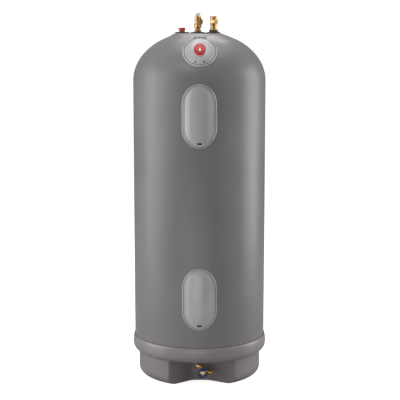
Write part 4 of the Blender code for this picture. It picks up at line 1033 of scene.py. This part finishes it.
def drain_wheel(front):
    """A cast wheel with a lobed rim and dished spokes, and the nut that holds it."""
    middle = front + 0.034
    tube = WHEEL_TUBE - 0.0002
    rim = []
    for a in circle(96):
        lobe = 0.00035 * cos(8 * a)
        ring = []
        for b in circle(18):
            r = WHEEL_R - 0.0003 + lobe + tube * cos(b)
            ring.append(Vector((r * cos(a), r * sin(a), middle + 0.002 + tube * sin(b))))
        rim.append(ring)
    line = ((STEM_BORE, -0.002), (0.0098, -0.002), (0.0112, 0.002), (0.0098, 0.0055), (STEM_BORE, 0.0055))
    hub = revolve(rounded(raised(middle, *line), 0.0009), 56)
    spokes = []
    for k in range(4):
        rings = []
        for reach, half, low, high in SPOKE_LINE:
            under, over = middle + low, middle + high
            outline = [(-half, under), (half, under), (half * 0.8, over), (-half * 0.8, over)]
            rings.append([Vector((reach, y, z)) for y, z in rounded(outline, 0.0012)])
        turn = turned(2 * pi * (k + 0.5) / 4, "Z")
        spokes.append(moved(skinned(rings, ends=False), turn))
    wheel = forward(together(skinned(rim), hub, *spokes), VALVE.x, VALVE.z)
    node = ("drain_handwheel",)
    piece("drain_wheel_skin", wheel, MATS["blue"], "drain_wheel", node, "blue_enamel", sharp=45)
    face = middle + 0.0055 + GAP
    seat, top = face + 0.0013, face + 0.0052
    washer = [(STEM_BORE, face), (0.0098, face), (0.0098, face + 0.0009), (0.0094, seat), (STEM_BORE, seat)]
    crown = hex_nut(0.014, seat, top, 0.003)
    dome = [(0, top), (0.0058, top), *arc((0, top), (0.0056, 0.0027), 8, 84, 8), (0, face + 0.0079)]
    shape = forward(together(revolve(washer, 56), crown, revolve(dome, 48)), VALVE.x, VALVE.z)
    piece("drain_wheel_nut_skin", shape, MATS["brass"], "drain_wheel", ("drain_wheel_nut",), "brass")


# ---- behind the access covers
CAD_FINISHES = (  # finish, width of the softened edges, rounds of smoothing, and the CAD nodes
    ("white", 0.0004, 0, "upper_access_well lower_access_well upper_thermostat_dial lower_thermostat_dial"),
    ("black", 0.0008, 0, "upper_thermostat lower_thermostat high_limit_switch"),
    ("steel", 0.0003, 0, "upper_thermostat_bracket lower_thermostat_bracket"),
    ("brass", 0.0006, 0, "upper_element_port lower_element_port"),
    ("sheath", 0.0004, 0, "upper_heating_element lower_heating_element"),
    ("red", 0.0005, 0, "reset_button"),
    ("wire_black", 0, 1, "line_wire_black"),
    ("wire_red", 0, 1, "line_wire_red"),
    ("wire_green", 0, 1, "ground_wire"),
    ("wire_blue", 0, 1, "lower_wire_blue"),
    ("wire_yellow", 0, 1, "lower_wire_yellow"),
    ("bright_steel", 0.0002, 0, "relief_stem"),
    ("bright_steel", 0, 0, "relief_lever_pin"),
    ("bright_steel", 0.0003, 0, "relief_lever"),
    ("steel", 0, 1, "relief_spring cold_check_spring"),
    ("white", 0, 0, "relief_probe cold_check_poppet dip_tube"),
    ("brass", 0.0002, 0, "drain_stem"),
    ("rubber", 0, 0, "drain_seat_washer"),
    ("liner", 0, 1, "drain_pipe"),
    ("liner", 0, 0, "tank_liner"),
    ("glass_fibre", 0, 0, "tank_winding"),
    ("foam", 0, 0, "foam_insulation"),
    ("brass", 0, 0, "hot_port_insert relief_port_insert cold_port_insert"),
    ("black", 0, 0, "junction_box"),
)


def well_back(which, finish):
    """The wound tank wall that shows at the back of a well, in bands of glass roving."""
    z = COVER_Z[which]
    rows, columns = 110, 60
    angles = [radians(-19 + 38 * k / columns) for k in range(columns + 1)]
    rings = []
    for i in range(rows + 1):
        height = z - 0.132 + 0.264 * i / rows
        ripples = [0.00016 * sin(height * 900 + a * 30) - 0.0003 for a in angles]
        rings.append([from_front(WINDING_R + 0.0008 + r, a, height) for r, a in zip(ripples, angles)])
    wall = skinned(rings, around=False, ends=False)
    piece(which + "_well_back", wall, finish, slot="fibreglass", sharp=60)


def screw_head(x, y, z, radius):
    """A cheese head that faces the front."""
    profile = rounded([(0, 0), (radius, 0), (radius, 0.0016), (radius * 0.8, 0.0024), (0, 0.0026)], 0.0005)
    return moved(revolve(profile, 32), at(x, y, z) @ FACING)


def terminal_screws(which):
    """Binding screws on the thermostat's corners."""
    low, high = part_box(which + "_thermostat")
    heads = []
    for x in (low.x + 0.0065, high.x - 0.0065):
        heads += [screw_head(x, low.y + 0.0002, z, 0.0036) for z in (low.z + 0.008, high.z - 0.008)]
    piece(which + "_terminal_screws", together(*heads), MATS["brass"], slot="brass")


def dial_plate(which):
    """Raised plain ticks round the thermostat's dial."""
    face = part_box(which + "_thermostat")[0].y + 0.0001
    low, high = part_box(which + "_thermostat_dial")
    middle = at((low.x + high.x) / 2, face, (low.z + high.z) / 2) @ FACING
    bar = slab((0.0078, -0.00025, 0), (0.0098, 0.00025, 0.0003))
    turns = [radians(-135 + 270 * k / 8 + 90) for k in range(9)]
    ticks = [moved(bar, middle @ turned(turn, "Z")) for turn in turns]
    piece(which + "_dial_ticks", together(*ticks), MATS["white"], slot="white_plastic")


# ---- stage, lights and camera
def seen_directly(tree):
    return add_node(tree, "LightPath").outputs["Is Camera Ray"]


def pale_floor():
    """A white floor that sweeps up into a backdrop, and lights the heater only faintly."""
    made, tree, shader, where = node_material("studio_sweep")
    pale = blended(tree, ranged(tree, noise_node(tree, where, 1.5, 2.0), 0, 1), (0.8,) * 3, (0.82,) * 3)
    direct = seen_directly(tree)
    feed(tree, shader, Roughness=0.9, Specular_IOR_Level=0.1, Emission_Color=(1, 1, 1, 1))
    feed(tree, shader, Base_Color=blended(tree, direct, (0.3,) * 3, pale))
    feed(tree, shader, Emission_Strength=ranged(tree, direct, 0.0, 0.82, 0, 1))
    line = rounded([(-9.0, 0.0), (9.0, 0.0), (9.0, 9.0)], 4.0, closed=False, steps=24)
    rings = [[Vector((x, y, z - 0.0005)) for x in (-11.0, 11.0)] for y, z in line]
    floor = plain_object("studio_floor", skinned(rings, around=False, ends=False))
    coat(floor, made)
    smooth_faces(floor.data)


def soft_light(name, place, aim, size, power, colour):
    data = bpy.data.lights.new(name, "AREA")
    data.shape = "RECTANGLE"
    data.size, data.size_y = size
    data.energy = power
    data.color = colour
    light = bpy.data.objects.new(name, data)
    bpy.context.scene.collection.objects.link(light)
    light.location = place
    light.rotation_euler = (Vector(aim) - Vector(place)).to_track_quat("-Z", "Y").to_euler()


def bank(name, azimuth, distance, height, size, power, colour):
    """A soft light at an angle from the front, positive to the right, aimed at the heater's middle."""
    turn = radians(azimuth)
    place = (distance * sin(turn), -distance * cos(turn), height)
    soft_light(name, place, (0, 0, 0.85), size, power, colour)


def lights():
    bank("left_bank", -84, 2.8, 1.25, (1.7, 2.6), 66, (0.99, 0.99, 1))
    bank("left_front", -58, 3.3, 1.35, (0.7, 2.4), 17, (1, 1, 1))
    bank("right_bank", 98, 2.8, 1.2, (1.7, 2.6), 78, (1, 0.985, 0.97))
    bank("right_front", 52, 3.6, 1.3, (0.5, 2.2), 8, (1, 0.99, 0.98))
    soft_light("top_bank", (0.1, 0.2, 3.4), (0, 0, 1.3), (1.8, 1), 28, (1, 0.985, 0.96))
    soft_light("top_back", (0.2, 1.9, 3.5), (0, 0, 1.5), (1.6, 0.5), 22, (1, 0.99, 0.97))
    soft_light("low_front", (-0.3, -2.2, 0.12), (0, 0, -0.05), (1.6, 0.22), 8, (1, 0.98, 0.96))
    soft_light("top_front", (-0.8, -1.8, 3.3), (0, 0, 1.3), (1.6, 0.4), 16, (1, 1, 1))
    world = bpy.data.worlds.new("studio")
    bpy.context.scene.world = world
    world.use_nodes = True
    tree = world.node_tree
    glow = ranged(tree, seen_directly(tree), 0.36, 1.0, 0, 1)
    feed(tree, tree.nodes["Background"], Color=(1, 1, 1, 1), Strength=glow)


SENSOR = 36
FOCAL_LENGTH = 1238.5 / 400  # in widths of the picture
CAMERA_AT = (0.0027, -5.5, 1.6745)
LOOK_DOWN = 9.13


def camera():
    data = bpy.data.cameras.new("camera")
    data.sensor_width = SENSOR
    data.lens = SENSOR * FOCAL_LENGTH
    data.clip_end = 100
    cam = bpy.data.objects.new("camera", data)
    bpy.context.scene.collection.objects.link(cam)
    cam.location = CAMERA_AT
    cam.rotation_euler = (radians(90 - LOOK_DOWN), 0, 0)
    bpy.context.scene.camera = cam
    bpy.context.scene.view_settings.view_transform = "Standard"


def build():
    jacket_skin(MATS["jacket"])
    pedestal_skin(MATS["pedestal"])
    seam_shade_bead(MATS["shadow_line"])
    for which in COVER_Z:
        access_cover(which, MATS["cover"])
        slot_shade(which, MATS["black"])
        cover_groove_shade(which, MATS["shadow_line"])
    junction_cover(MATS["cover"])
    junction_groove_shade(MATS["shadow_line"])
    junction_screws(MATS["black"])
    badge(MATS["badge"], MATS["badge_ring"], MATS["badge_ring"])
    cover_clip(MATS["cover"], MATS["rubber"])
    grommets(MATS["rubber"])
    hot_outlet()
    relief_valve()
    cold_inlet()
    conduit_plug()
    drain_valve()
    for which in COVER_Z:
        well_back(which, MATS["glass_fibre"])
        terminal_screws(which)
        dial_plate(which)
    for finish, bevel, rounds, nodes in CAD_FINISHES:
        for node in nodes.split():
            dress(node, MATS[finish], bevel, rounds)


build()
pale_floor()
lights()
camera()
